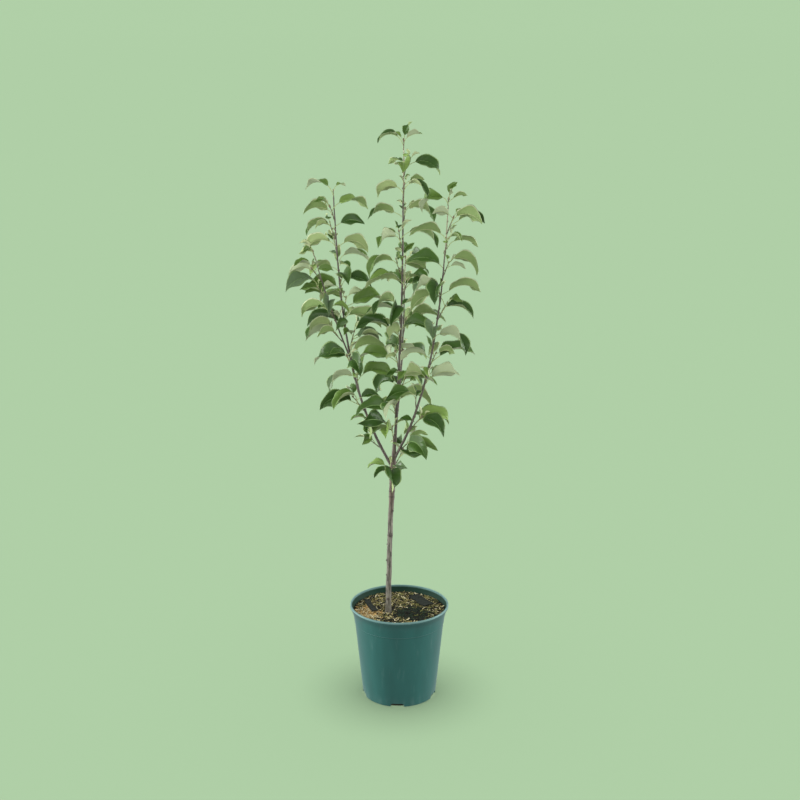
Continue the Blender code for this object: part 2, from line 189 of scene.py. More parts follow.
# Paths of limbs, stalks and buds: steps, swellings at the spurs, wander of a limb's middle, the
# collar where a bough leaves (swelling, fall and rise), and how near a leaf's tip has to be to
# its solid
TRUNK_RING = 0.0025
BOUGH_RING = 0.0035
KNOB_SWELL = 0.16
KNOB_HEIGHT = 0.0045
WANDER = 0.0009
WANDER_SEED = 3
COLLAR = (0.45, 0.010, 0.003)
STALK_STEPS = 6
RIB_STEPS = 6
RIB_END = 0.86
STEM_STEPS = 9
STEM_RINGS = 0.16
ACCEPT = 0.0004

# Shapes of a bud and of a pruned stub: how far along and how thick
BUD_SHAPE = ((0.0, 0.55), (0.22, 0.92), (0.48, 1.0), (0.74, 0.66), (0.92, 0.28), (1.0, 0.06))
STUB_SHAPE = ((0.0, 1.25), (0.45, 1.2), (0.85, 1.0), (1.1, 0.7), (1.05, 0.3))

# Marks on the trunk: height, heading and size of each knot, and the heights of ringed scars
KNOTS = (
    (0.263, 262.0, 0.0040),
    (0.300, 120.0, 0.0030),
    (0.327, 200.0, 0.0032),
    (0.350, 50.0, 0.0032),
    (0.366, 195.0, 0.0040),
    (0.408, 190.0, 0.0030),
    (0.432, 265.0, 0.0042),
    (0.470, 80.0, 0.0032),
    (0.4965, 325.0, 0.0040),
    (0.545, 110.0, 0.0034),
)
SCARS = (0.432, 0.533, 0.548)
SCAR_SWELL = 0.09
SCAR_HEIGHT = 0.005

# How far the bark stands out from the solid trunk: girth and rise at the foot, and height,
# girth and spread at the fork
FOOT_GIRTH = 0.0006
FOOT_RISE = 0.33
FORK_AT = 0.585
FORK_GIRTH = 0.0014
FORK_SPREAD = 0.055

# Height below which the trunk has no buds, and heights at which the wood turns pale and young
BARE_TRUNK = 0.560
YOUNG_WOOD = {
    "trunk": 1.24,
    "bough_left": 1.30,
    "bough_right": 1.10,
    "shoot_left": 1.06,
    "bough_back": 1.00,
}
YOUNG_FADE = 0.09
TRUNK_FADE = (0.60, 0.72)

# Tints of the leaves' tops, and the odds of each on full-grown, young and low young leaves
# BLUE_SHEEN is painted sheen: a paler, bluish green for tops that stands in for reflected light.
DEEP, MID, FRESH, BLUE_SHEEN, YOUNG, CREAM = range(6)
FULL_TINTS = (34, 32, 16, 13, 5)
YOUNG_TINTS = (8, 30, 32, 10, 20)
LOW_TINTS = (26, 40, 24, 8, 2)
LOW_BELOW = 0.80

# Tints of their undersides, and the odds of each, more of them pale up to a height
UNDER_PLAIN, UNDER_PALE, UNDER_WARM, UNDER_CREAM = range(4)
PALE_UNDERS = (5, 7, 3)
GREEN_UNDERS = (5, 2, 3)
PALE_BELOW = 0.97

# Leaf blade template: its vertices' numbers, its parts, how far across its columns are, how far
# its veins slant forward, and where on the stretch between two teeth a tooth stands
BLADE_NUMBERS = ("across", "along", "spread", "skin", "lift")
TOP, UNDER, RIB_TOP, RIB_UNDER, RIM_TOP, RIM_UNDER = range(6)
COLUMNS = (0.045, 0.32, 0.66, 0.93)
VEIN_SLANT = 0.62
TOOTH_AT = 0.72

# Steepest angle that half a blade folds to, in radians
STEEPEST = 1.32

# A leaf's numbers that its point carries: seven for its posture and two for its tints
POSTURE = ("length", "width", "start", "arch", "fold", "roll", "phase")
TINTS = ("tint", "under")

# Camera, solved from the pot and the trunk
CAMERA_PLACE = (0.0018, -2.711, 1.393)
CAMERA_PITCH = 77.18
CAMERA_LENS = 50.85

# Round floor: corners, how far it is flat, radius of the curve up to its wall, top of the wall,
# share of its light that is the sky's, and how much light reaches the wall
ROUND = 96
FLOOR_FLAT = 6.0
FLOOR_CURVE = 2.4
FLOOR_STEPS = 16
FLOOR_TOP = 9.0
SKY_SHARE = 0.20
WALL_LEVEL = 0.128

# Lamps, all aimed at the middle of the plant: place, width, height, setting of the power and
# share of it
AIM = Vector((0.0, 0.0, 0.75))
LAMP_SPREAD = 110.0
LAMPS = {
    "key": ((-1.0, -3.6, 2.2), 2.6, 2.0, "key", 1.0),
    "left": ((-2.3, 0.35, 1.0), 1.0, 2.6, "side", 1.2),
    "right": ((2.3, 0.35, 1.0), 1.0, 2.6, "side", 1.0),
}


@dataclass
class Limb:
    """A tapering limb that leaves its parent at a slant and turns upright.

    foot and rise are heights, reach is how far it would end up beside its parent's line, and
    bend is the height over which it turns upright. The plan has one word of leaves for each
    spur, from first_spur up to the limb's tip.
    """

    name: str
    parent: object
    foot: float
    rise: float
    reach: float
    bend: float
    heading: float
    foot_radius: float
    tip_radius: float
    first_spur: float
    plan: str

    @property
    def tip(self):
        return self.foot + self.rise

    def point(self, height):
        gained = height - self.foot
        out = self.reach * (1.0 - math.exp(-gained / self.bend))
        aside = self.parent.point(self.foot) + out * heading_vector(self.heading)
        return aside + Vector((0.0, 0.0, gained))

    def radius(self, height):
        part = (height - self.foot) / self.rise
        return self.foot_radius + (self.tip_radius - self.foot_radius) * part**0.8

    def tangent(self, height):
        step = 0.002
        return (self.point(height + step) - self.point(height - step)).normalized()


class Trunk(Limb):
    """The trunk and leader, one stem with a slight swing and a flared foot."""

    def point(self, height):
        swing = math.tanh((height - SWING_AT) / SWING_OVER)
        return SWING_MIDDLE + swing * SWING + Vector((0.0, 0.0, height))

    def radius(self, height):
        if height < FORK_FROM:
            part = (height - self.foot) / (FORK_FROM - self.foot)
            flare = ROOT_FLARE * math.exp(-(height - self.foot) / ROOT_FLARE_RISE)
            return self.foot_radius + (FORK_RADIUS - self.foot_radius) * math.sqrt(part) + flare
        if height < FORK_TO:
            part = (height - FORK_FROM) / (FORK_TO - FORK_FROM)
            return FORK_RADIUS + (LEADER_RADIUS - FORK_RADIUS) * part
        part = (height - FORK_TO) / (self.tip - FORK_TO)
        return LEADER_RADIUS + (self.tip_radius - LEADER_RADIUS) * part


TRUNK = Trunk(
    "trunk", None, foot=TRUNK_FOOT, rise=TRUNK_TIP - TRUNK_FOOT, reach=0.0, bend=1.0, heading=0.0,
    foot_radius=TRUNK_RADIUS, tip_radius=TIP_RADIUS, first_spur=0.570,
    plan="Fdel ERcb FlDr LFcR REal LdBr FLEc LFrD RLEa RLbf DRlb LRba LEr FRcf Lru",
)
LEFT = Limb(
    "bough_left", TRUNK, foot=0.606, rise=0.660, reach=0.160, bend=0.228, heading=160.0,
    foot_radius=0.0037, tip_radius=0.0015, first_spur=0.660,
    plan="ldb FElc LDrb LReB FLRd REdB LFRb RCrd LRFe LfRB RLcb LRlf LRd La",
)
RIGHT = Limb(
    "bough_right", TRUNK, foot=0.628, rise=0.622, reach=0.152, bend=0.260, heading=-23.0,
    foot_radius=0.0034, tip_radius=0.0013, first_spur=0.665,
    plan="ErlB REb RLbf ELrf RLBe RFLc RaLe RFLc LrRb RfLe REl Lru",
)
SIDE = Limb(
    "shoot_left", LEFT, foot=0.872, rise=0.258, reach=0.310, bend=0.640, heading=219.0,
    foot_radius=0.0022, tip_radius=0.0013, first_spur=0.930,
    plan="LdDb LdrF laD Lrd ldc",
)
BACK = Limb(
    "bough_back", TRUNK, foot=0.700, rise=0.400, reach=0.135, bend=0.200, heading=78.0,
    foot_radius=0.0028, tip_radius=0.0013, first_spur=0.765,
    plan="BCa ABlc BcRa CaBl ABu",
)
LIMBS = (TRUNK, LEFT, RIGHT, SIDE, BACK)


def heading_vector(degrees):
    turn = math.radians(degrees)
    return Vector((math.cos(turn), math.sin(turn), 0.0))


def wall_radius(height):
    """Outer radius of the pot's wall, with its ring step and bell-shaped rim."""
    radius = FOOT_RADIUS + WALL_TAPER * height
    if height > RING_HEIGHT:
        radius += RING_STEP
    if height > BELL_FROM:
        part = (height - BELL_FROM) / (POT_HEIGHT - BEAD_HEIGHT - BELL_FROM)
        radius += BELL_FLARE * part * part
    return radius


def outline(along):
    """Half-width of an apple leaf along its length: rounded foot, drawn-out tip."""
    return math.sin(math.pi * along**0.83) ** 0.94 * (1.0 - 0.34 * along**3)


class Leaf:
    """One leaf: where it springs from, how it is held, the arch of its blade and its tints."""

    def __init__(self, key, letter, node, scale, attempt):
        rule = random.Random(f"{key} {attempt}")
        self.young = letter.islower()
        spread = HEADING_SPREAD * (1.0 + 0.6 * attempt)
        self.length = (YOUNG_LEAF if self.young else FULL_LEAF) * scale * rule.uniform(0.86, 1.14)
        self.width = self.length * LEAF_WIDTH * rule.uniform(0.88, 1.06)
        self.out = heading_vector(HEADINGS[letter.lower()] + rule.uniform(-spread, spread))
        rise = math.radians(rule.uniform(*PETIOLE_RISE))
        self.start = math.radians(rule.uniform(*BLADE_RISE))
        self.arch = math.radians(rule.uniform(*BLADE_ARCH)) * (0.75 if self.young else 1.0)
        self.fold = math.radians(rule.uniform(*BLADE_FOLD))
        self.roll = math.radians(rule.uniform(*BLADE_ROLL)) * rule.choice((-1.0, 1.0))
        stalk = PETIOLE * rule.uniform(0.75, 1.2) * (0.6 if self.young else 1.0)
        if letter == "u":
            rise = math.radians(80.0)
            self.start = math.radians(78.0)
        self.node = node
        self.base = node + stalk * self.slanted(rise)
        taste = random.Random(f"{key} taste")
        self.phase = taste.random()
        tints = (LOW_TINTS if node.z < LOW_BELOW else YOUNG_TINTS) if self.young else FULL_TINTS
        self.tint = taste.choices((DEEP, MID, FRESH, BLUE_SHEEN, YOUNG), tints)[0]
        unders = GREEN_UNDERS if node.z > PALE_BELOW else PALE_UNDERS
        self.under = taste.choices((UNDER_PLAIN, UNDER_PALE, UNDER_WARM), unders)[0]

    def slanted(self, angle):
        """Direction of the leaf's heading at a slope."""
        return math.cos(angle) * self.out + Vector((0.0, 0.0, math.sin(angle)))

    def centre(self, along):
        """Point of the midrib, which bends down on an arc."""
        span = self.length / self.arch
        slope = self.start - self.arch * along
        across = span * (math.sin(self.start) - math.sin(slope))
        up = span * (math.cos(slope) - math.cos(self.start))
        return self.base + across * self.out + Vector((0.0, 0.0, up))

    def axes(self, along):
        """Side and face directions of the blade at a place on the midrib."""
        tangent = self.slanted(self.start - self.arch * along)
        side = Vector((-self.out.y, self.out.x, 0.0))
        twist = Matrix.Rotation(self.roll, 3, tangent)
        return twist @ side, twist @ tangent.cross(side)


def spur_places(limb):
    """Height and word of each spur, evenly spaced with some play up to the limb's tip."""
    words = limb.plan.split()
    step = (limb.tip - limb.first_spur) / (len(words) - 1)
    rule = random.Random(limb.name)
    plays = [rule.uniform(-SPACING_PLAY, SPACING_PLAY) for _ in words[1:]]
    heights = [limb.first_spur + step * (i + play) for i, play in enumerate(plays)]
    return zip(heights + [limb.tip], words)


def word_heading(word):
    """Heading in degrees that a word's leaves pull towards, the full-grown ones twice as much."""
    pull = Vector((0.0, 0.0, 0.0))
    for letter in word:
        weight = 1.0 if letter.isupper() else 0.5
        pull += weight * heading_vector(HEADINGS[letter.lower()])
    return math.degrees(math.atan2(pull.y, pull.x))


class Spur:
    """A short leafy stem on a limb, or the bud at its tip."""

    def __init__(self, limb, number, height, word):
        self.name = f"spur_{limb.name}_{number:02d}"
        self.limb = limb
        self.height = height
        self.word = word
        part = (height - limb.first_spur) / (limb.tip - limb.first_spur)
        self.scale = 1.0 - TIP_SHRINK * max(0.0, 2.0 * part - 1.0)
        tangent = limb.tangent(height)
        self.root = limb.point(height - 0.005)
        if height == limb.tip:
            self.radius = limb.tip_radius
            self.start = limb.point(height) + GAP * tangent
            self.end = self.start + TIP_STEM * tangent
        else:
            rule = random.Random(self.name)
            heading = heading_vector(word_heading(word) + rule.uniform(-SPUR_PLAY, SPUR_PLAY))
            heading = (heading - heading.dot(tangent) * tangent).normalized()
            lean = math.radians(rule.uniform(*SPUR_LEAN))
            length = SPUR_LENGTH * rule.uniform(0.8, 1.15)
            self.radius = SPUR_RADIUS
            self.start = limb.point(height) + (limb.radius(height) + GAP + SPUR_RADIUS) * heading
            self.end = self.start + length * (math.cos(lean) * tangent + math.sin(lean) * heading)
        self.leaves = self.find_leaves()
        self.tender = self.tender_leaves()

    def find_leaves(self):
        """The leaves of the word that its solid has, told by where their tips end."""
        solid = frame["nodes"][self.name]
        tree = KDTree(len(solid.data.vertices))
        for vertex in solid.data.vertices:
            tree.insert(solid.matrix_world @ vertex.co, vertex.index)
        tree.balance()
        leaves = []
        for place, letter in enumerate(self.word):
            share = FIRST_NODE + (LAST_NODE - FIRST_NODE) * place / (len(self.word) - 1)
            node = self.start.lerp(self.end, share)
            for attempt in range(TRIES):
                leaf = Leaf(f"{self.name} {place}", letter, node, self.scale, attempt)
                if tree.find(leaf.centre(1.0))[2] < ACCEPT:
                    leaves.append(leaf)
                    break
        return leaves

    def tender_leaves(self):
        """The youngest leaves, still folded, at the end of many spurs."""
        rule = random.Random(self.name + " tender")
        leaves = []
        for place in range(rule.choice((0, 1, 1, 2))):
            key = f"{self.name} tender {place}"
            leaf = Leaf(key, rule.choice("rabcldfe"), self.end, rule.uniform(0.36, 0.60), 0)
            leaf.fold = math.radians(rule.uniform(46.0, 60.0))
            leaf.start = math.radians(rule.uniform(45.0, 78.0))
            leaf.arch = math.radians(rule.uniform(35.0, 80.0))
            leaf.tint = rule.choice((YOUNG, CREAM))
            leaf.under = rule.choice((UNDER_PALE, UNDER_CREAM))
            leaves.append(leaf)
        return leaves


@functools.cache
def grow_spurs():
    spurs = []
    for limb in LIMBS:
        for number, (height, word) in enumerate(spur_places(limb), start=1):
            spurs.append(Spur(limb, number, height, word))
    return spurs


# Node trees written as expressions


def find_socket(sockets, key):
    """A socket by its number, or the shown one with that name."""
    if isinstance(key, int):
        return sockets[key]
    for socket in sockets:
        if socket.enabled and key in (None, socket.name):
            return socket
    raise KeyError(f"no socket {key!r}")


def is_vector(value):
    if isinstance(value, Wire):
        return value.socket.type == "VECTOR"
    return isinstance(value, (tuple, Vector))


def arithmetic(operation, flipped=False):
    """A method of Wire that adds the node of one operation."""

    def method(self, other):
        first, second = (other, self) if flipped else (self, other)
        return self.graph.maths(operation, first, second)

    return method


class Wire:
    """An output socket that can stand in arithmetic."""

    def __init__(self, graph, socket):
        self.graph = graph
        self.socket = socket

    __add__ = arithmetic("ADD")
    __radd__ = arithmetic("ADD", flipped=True)
    __sub__ = arithmetic("SUBTRACT")
    __rsub__ = arithmetic("SUBTRACT", flipped=True)
    __mul__ = arithmetic("MULTIPLY")
    __rmul__ = arithmetic("MULTIPLY", flipped=True)
    __truediv__ = arithmetic("DIVIDE")
    __gt__ = arithmetic("GREATER_THAN")
    __lt__ = arithmetic("LESS_THAN")


class Graph:
    """Adds nodes to a tree and links them."""

    def __init__(self, tree):
        self.tree = tree

    def add(self, kind, settings, inputs, output=None):
        node = self.tree.nodes.new(kind)
        for name, value in settings.items():
            setattr(node, name, value)
        for key, value in inputs.items():
            self.plug(find_socket(node.inputs, key), value)
        return Wire(self, find_socket(node.outputs, output))

    def plug(self, socket, value):
        if isinstance(value, Wire):
            self.tree.links.new(value.socket, socket)
        elif socket.type == "RGBA":
            socket.default_value = (*value, 1.0)
        else:
            socket.default_value = value

    def maths(self, operation, first, second=0.0):
        if not is_vector(first) and not is_vector(second):
            return self.add("ShaderNodeMath", {"operation": operation}, {0: first, 1: second})
        if is_vector(first) and is_vector(second) or operation != "MULTIPLY":
            return self.vectors(operation, first, second)
        vector, number = (first, second) if is_vector(first) else (second, first)
        return self.add("ShaderNodeVectorMath", {"operation": "SCALE"}, {0: vector, 3: number})

    def vectors(self, operation, first, second, output=None):
        inputs = {0: first, 1: second}
        return self.add("ShaderNodeVectorMath", {"operation": operation}, inputs, output)

    def sine(self, value):
        return self.maths("SINE", value)

    def cosine(self, value):
        return self.maths("COSINE", value)

    def absolute(self, value):
        return self.maths("ABSOLUTE", value)

    def largest(self, values):
        return functools.reduce(functools.partial(self.maths, "MAXIMUM"), values)

    def clamp(self, value, low=0.0, high=1.0):
        return self.maths("MINIMUM", self.maths("MAXIMUM", value, low), high)

    def between(self, value, low, high):
        """0 at low and 1 at high, smooth in between."""
        inputs = {"Value": value, "From Min": low, "From Max": high}
        return self.add("ShaderNodeMapRange", {"interpolation_type": "SMOOTHSTEP"}, inputs)

    def near(self, value, place, far, close):
        """1 where a value is close to a place, and 0 far from it."""
        return self.between(self.absolute(value - place), far, close)

    def cross(self, first, second):
        return self.vectors("CROSS_PRODUCT", first, second)

    def distance(self, first, second):
        return self.vectors("DISTANCE", first, second, "Value")

    def join_xyz(self, x, y, z):
        return self.add("ShaderNodeCombineXYZ", {}, {0: x, 1: y, 2: z})

    def axis(self, vector, name):
        return self.add("ShaderNodeSeparateXYZ", {}, {0: vector}, name)

    def noise(self, vector, scale, detail=3.0, roughness=0.5):
        inputs = {"Vector": vector, "Scale": scale, "Detail": detail, "Roughness": roughness}
        return self.add("ShaderNodeTexNoise", {}, inputs)

    def speckle(self, vector, scale):
        return self.add("ShaderNodeTexVoronoi", {}, {"Vector": vector, "Scale": scale}, "Distance")

    def mix(self, share, first, second):
        """A colour between two, by a share from 0 to 1."""
        return self.add("ShaderNodeMix", {"data_type": "RGBA"}, {0: share, 6: first, 7: second})

    def place(self):
        """Object coordinates."""
        return self.add("ShaderNodeTexCoord", {}, {}, "Object")

    def bump(self, height, strength, distance):
        inputs = {"Height": height, "Strength": strength, "Distance": distance}
        return self.add("ShaderNodeBump", {}, inputs)

    def set_position(self, geometry, **inputs):
        return self.add("GeometryNodeSetPosition", {}, {"Geometry": geometry, **inputs})


def shade(tone, factor):
    """A colour made darker or lighter by a factor."""
    return tuple(min(1.0, part * factor) for part in tone)


def new_finish(name, **fixed):
    """A material, its graph and a function that plugs its shader's sockets."""
    material = bpy.data.materials.new(name)
    material.use_nodes = True
    graph = Graph(material.node_tree)
    shader = material.node_tree.nodes["Principled BSDF"]

    def plug(**values):
        for label, value in values.items():
            graph.plug(shader.inputs[label.replace("_", " ").title().replace("Ior", "IOR")], value)

    plug(**fixed)
    return material, graph, plug


def new_shape_tree(name, inputs):
    """A Geometry Nodes tree with named inputs, given as (name, type, value)."""
    tree = bpy.data.node_groups.new(name, "GeometryNodeTree")
    tree.interface.new_socket("Geometry", in_out="OUTPUT", socket_type="NodeSocketGeometry")
    tree.interface.new_socket("Geometry", in_out="INPUT", socket_type="NodeSocketGeometry")
    for label, kind, value in inputs:
        socket = tree.interface.new_socket(label, in_out="INPUT", socket_type=f"NodeSocket{kind}")
        if value is not None:
            socket.default_value = value
    graph = Graph(tree)
    entry = tree.nodes.new("NodeGroupInput")
    wires = {socket.name: Wire(graph, socket) for socket in entry.outputs if socket.name}
    return graph, wires


def attribute(graph, name, kind="FLOAT"):
    return graph.add("GeometryNodeInputNamedAttribute", {"data_type": kind}, {"Name": name})


def coded(graph, materials, wire, part=None, code=0):
    """A selection for each material where a wire has its number, and the part its code."""
    paints = []
    for number, material in enumerate(materials):
        miss = graph.absolute(wire - float(number))
        if part is not None:
            miss = miss + graph.absolute(part - float(code))
        paints.append((miss < 0.5, material))
    return paints


def end_tree(graph, geometry, paints, smooth=True):
    """Realizes the instances and gives each selection its material."""
    if smooth:
        geometry = graph.add("GeometryNodeSetShadeSmooth", {}, {"Geometry": geometry})
    geometry = graph.add("GeometryNodeRealizeInstances", {}, {"Geometry": geometry})
    for selection, material in paints:
        inputs = {"Geometry": geometry, "Material": material}
        if selection is not None:
            inputs["Selection"] = selection
        geometry = graph.add("GeometryNodeSetMaterial", {}, inputs)
    graph.plug(graph.tree.nodes.new("NodeGroupOutput").inputs[0], geometry)
    return graph.tree


def link(name, data):
    thing = bpy.data.objects.new(name, data)
    bpy.context.scene.collection.objects.link(thing)
    return thing


def unlink(things):
    for thing in list(things):
        bpy.data.objects.remove(thing, do_unlink=True)


def as_mesh(bm, name):
    mesh = bpy.data.meshes.new(name)
    bm.to_mesh(mesh)
    bm.free()
    return mesh


def store(mesh, name, values, domain="POINT"):
    """Keeps one number for each point or face as an attribute."""
    mesh.attributes.new(name, "FLOAT", domain).data.foreach_set("value", values)


def evaluated_mesh(thing):
    bpy.context.view_layer.update()
    graph = bpy.context.evaluated_depsgraph_get()
    return bpy.data.meshes.new_from_object(thing.evaluated_get(graph))


def shaped(name, source, tree, values):
    """Runs a tree on a source mesh and keeps the result as a plain mesh object."""
    guide = link("guide", source)
    modifier = guide.modifiers.new("Shape", "NODES")
    modifier.node_group = tree
    for item in tree.interface.items_tree:
        if item.in_out == "INPUT" and item.name in values:
            modifier[item.identifier] = values[item.name]
    mesh = evaluated_mesh(guide)
    unlink([guide])
    mesh.name = name
    return link(name, mesh)


def keep(piece, slot, *nodes):
    """Makes a piece ride with the plant and stand for its nodes; the slot is not used."""
    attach(piece, BODY)
    if nodes:
        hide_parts(*nodes)
    return piece


def smooth_by_angle(mesh, degrees=40.0):
    mesh.shade_smooth()
    mesh.set_sharp_from_angle(angle=math.radians(degrees))


# Settings


def number_setting(name, value, description, kind=bpy.props.FloatProperty, **more):
    return kind(name=name, description=description, default=value, min=0.0, **more)


def length_setting(name, value, description):
    return number_setting(name, value, description, unit="LENGTH", precision=5)


def colour_setting(name, value, description):
    vector = bpy.props.FloatVectorProperty
    return number_setting(name, value, description, vector, subtype="COLOR", max=1.0, size=3)


class PotSettings(bpy.types.PropertyGroup):
    """Colours of the pot's plastic."""

    plastic: colour_setting("Plastic", (0.015, 0.098, 0.084), "Colour of the wall")
    # Inside is painted shade: a dark colour that stands in for the shade on the inner wall.
    inner: colour_setting("Inside", (0.001, 0.026, 0.012), "Colour of the wall's shaded inside")
    rim: colour_setting("Rim", (0.118, 0.228, 0.212), "Colour of the worn, pale edge of the rim")
    dust: colour_setting("Dust", (0.10, 0.19, 0.17), "Colour of dried water marks and dust")
    roughness: number_setting("Roughness", 0.40, "Roughness of the plastic")
    grain: length_setting("Grain", 0.00004, "Depth of the moulded grain")


class CompostSettings(bpy.types.PropertyGroup):
    """Chips, moss and bark flakes on the compost."""

    spacing: length_setting("Chip spacing", 0.0031, "Least distance between two chips")
    chip: length_setting("Chip length", 0.0080, "Length of a chip before it is scaled")
    seed: bpy.props.IntProperty(name="Seed", description="Seed of the scatter", default=7)
    soil: colour_setting("Soil", (0.016, 0.015, 0.009), "Colour of the peat between the chips")
    straw: colour_setting("Straw", (0.285, 0.245, 0.094), "Colour of most chips")
    pale: colour_setting("Pale chips", (0.660, 0.600, 0.360), "Colour of the palest chips")
    olive: colour_setting("Olive chips", (0.175, 0.190, 0.056), "Colour of the greenish chips")
    rust: colour_setting("Rust chips", (0.530, 0.355, 0.130), "Colour of the orange brown chips")
    dark: colour_setting("Dark chips", (0.012, 0.016, 0.012), "Colour of the dark wet chips")
    moss: colour_setting("Moss", (0.022, 0.044, 0.024), "Colour of the mossy patch")
    flake: colour_setting("Flakes", (0.010, 0.014, 0.009), "Colour of the bark flakes")


class BarkSettings(bpy.types.PropertyGroup):
    """Bark of the trunk, boughs and spurs."""

    relief: length_setting("Relief", 0.0007, "Depth of the bark's relief on the trunk")
    trunk: colour_setting("Trunk", (0.096, 0.090, 0.066), "Colour of the trunk's bark")
    streak: colour_setting("Streaks", (0.265, 0.252, 0.200), "Colour of the trunk's pale streaks")
    knot: colour_setting("Knots", (0.045, 0.032, 0.026), "Colour of knots and cracks")
    brown: colour_setting("Brown", (0.135, 0.102, 0.068), "Colour of the bark below the fork")
    bough: colour_setting("Boughs", (0.094, 0.082, 0.064), "Colour of the boughs' bark")
    twig: colour_setting("Twigs", (0.120, 0.115, 0.068), "Colour of the spurs")
    tip: colour_setting("Tips", (0.330, 0.315, 0.200), "Colour of the youngest wood")
    bud: colour_setting("Buds", (0.185, 0.155, 0.095), "Colour of the buds")


class LeafSettings(bpy.types.PropertyGroup):
    """Shape and colours of the leaves."""

    thickness: length_setting("Thickness", 0.0004, "Thickness of a blade")
    tooth: number_setting("Teeth", 0.085, "Depth of the teeth, as a share of half the blade")
    relief: number_setting("Vein relief", 0.036, "Depth between veins, as a share of the length")
    wave: number_setting("Wave", 0.058, "Waviness of the margin, as a share of the width")
    fold: number_setting("Fold", 1.42, "How far the blades fold, against their solids")
    twist: number_setting("Twist", 1.10, "Most that a blade turns about its midrib, in radians")
    stalk: colour_setting("Stalks", (0.330, 0.400, 0.165), "Colour of the leaf stalks")
    rib: colour_setting("Midrib", (0.200, 0.330, 0.110), "The midrib from above")
    rib_under: colour_setting("Midrib below", (0.400, 0.460, 0.240), "The midrib from below")
    rim: colour_setting("Margin", (0.150, 0.235, 0.072), "The margin from above")
    rim_under: colour_setting("Margin below", (0.400, 0.460, 0.260), "The margin from below")
    deep: colour_setting("Deep green", (0.030, 0.078, 0.010), "Darkest tops")
    mid: colour_setting("Mid green", (0.048, 0.112, 0.016), "Most tops")
    fresh: colour_setting("Fresh green", (0.092, 0.172, 0.029), "Lighter tops")
    # blue is painted sheen: a bluish green that stands in for light reflected from the tops.
    blue: colour_setting("Bluish green", (0.092, 0.152, 0.066), "Tops with a bluish painted sheen")
    young: colour_setting("Young green", (0.150, 0.250, 0.050), "Tops of young leaves")
    cream: colour_setting("Cream", (0.420, 0.495, 0.250), "Youngest folded leaves")
    under: colour_setting("Underside", (0.192, 0.285, 0.095), "Most undersides")
    under_pale: colour_setting("Pale underside", (0.335, 0.412, 0.235), "Palest undersides")
    under_warm: colour_setting("Warm underside", (0.250, 0.335, 0.128), "Warmer undersides")
    under_cream: colour_setting("Cream underside", (0.440, 0.510, 0.280), "Youngest undersides")


class StageSettings(bpy.types.PropertyGroup):
    """Floor and lights."""

    floor: colour_setting("Floor", (0.434, 0.624, 0.386), "Colour of the floor and backdrop")
    sky: number_setting("Sky", 0.64, "Strength of the even light from all round")
    shade: number_setting("Shade", 0.65, "Share of the floor's light that the pot can take away")
    spread: number_setting("Shade spread", 66.0, "Angle of the floor's light, in degrees")
    key: number_setting("Key light", 26.0, "Power of the large light above the front, in watts")
    side: number_setting("Side lights", 32.0, "Power of the two tall side lights, in watts")


# Pot


def pot_profile():
    """The wall's cross-section as (radius, height), from the middle of the foot and back."""
    points = [(0.0, 0.0), (FOOT_RADIUS - FOOT_EDGE, 0.0)]
    for i in range(1, 4):
        height = FLOOR * i / 3
        points.append((wall_radius(height) - 0.25 * FOOT_EDGE * (3 - i) / 3, height))
    low_ring = RING_HEIGHT - RING_STEP
    for i in range(1, 7):
        height = FLOOR + (low_ring - FLOOR) * i / 6
        points.append((wall_radius(height), height))
    points.append((wall_radius(RING_HEIGHT) + RING_STEP, RING_HEIGHT))
    bead_foot = POT_HEIGHT - BEAD_HEIGHT
    bell = [BELL_FROM + (bead_foot - BELL_FROM) * i / 12 for i in range(13)]
    points += [(wall_radius(height), height) for height in bell]
    lip = wall_radius(bead_foot) + BEAD
    points += [(lip - 0.4 * BEAD, bead_foot + 0.35 * BEAD), (lip, bead_foot + BEAD)]
    inner = 0.5 * BEAD_EDGE
    corners = ((lip - BEAD_EDGE, BEAD_EDGE, 0.0), (lip - BEAD_EDGE - WALL + inner, inner, 1.0))
    for middle, corner, quarter in corners:
        for i in range(CORNER_STEPS + 1):
            turn = 0.5 * math.pi * (quarter + i / CORNER_STEPS)
            height = POT_HEIGHT - corner + corner * math.sin(turn)
            points.append((middle + corner * math.cos(turn), height))
    inside = [*reversed(bell[:-1]), RING_HEIGHT, FLOOR]
    points += [(wall_radius(height) - WALL, height) for height in inside]
    points.append((0.0, FLOOR))
    return points


def notch_cutter(number):
    """A block with rounded top edges that cuts one drain notch through the foot."""
    bm = bmesh.new()
    bmesh.ops.create_cube(bm, size=1.0)
    bmesh.ops.scale(bm, vec=(NOTCH_DEPTH, NOTCH_WIDTH, 2.0 * NOTCH_HEIGHT), verts=bm.verts)
    tops = []
    for edge in bm.edges:
        start, end = (vertex.co for vertex in edge.verts)
        if start.z > 0.0 and end.z > 0.0 and abs(start.x - end.x) > 0.5 * NOTCH_DEPTH:
            tops.append(edge)
    bmesh.ops.bevel(bm, geom=tops, offset=NOTCH_CORNER, segments=6, affect="EDGES", profile=0.5)
    turn = NOTCH_TURN + 360.0 * number / NOTCH_COUNT
    place = Matrix.Translation(FOOT_RADIUS * heading_vector(turn))
    place @= Matrix.Rotation(math.radians(turn), 4, "Z")
    bmesh.ops.transform(bm, matrix=place, verts=bm.verts)
    return link("notch", as_mesh(bm, "notch"))


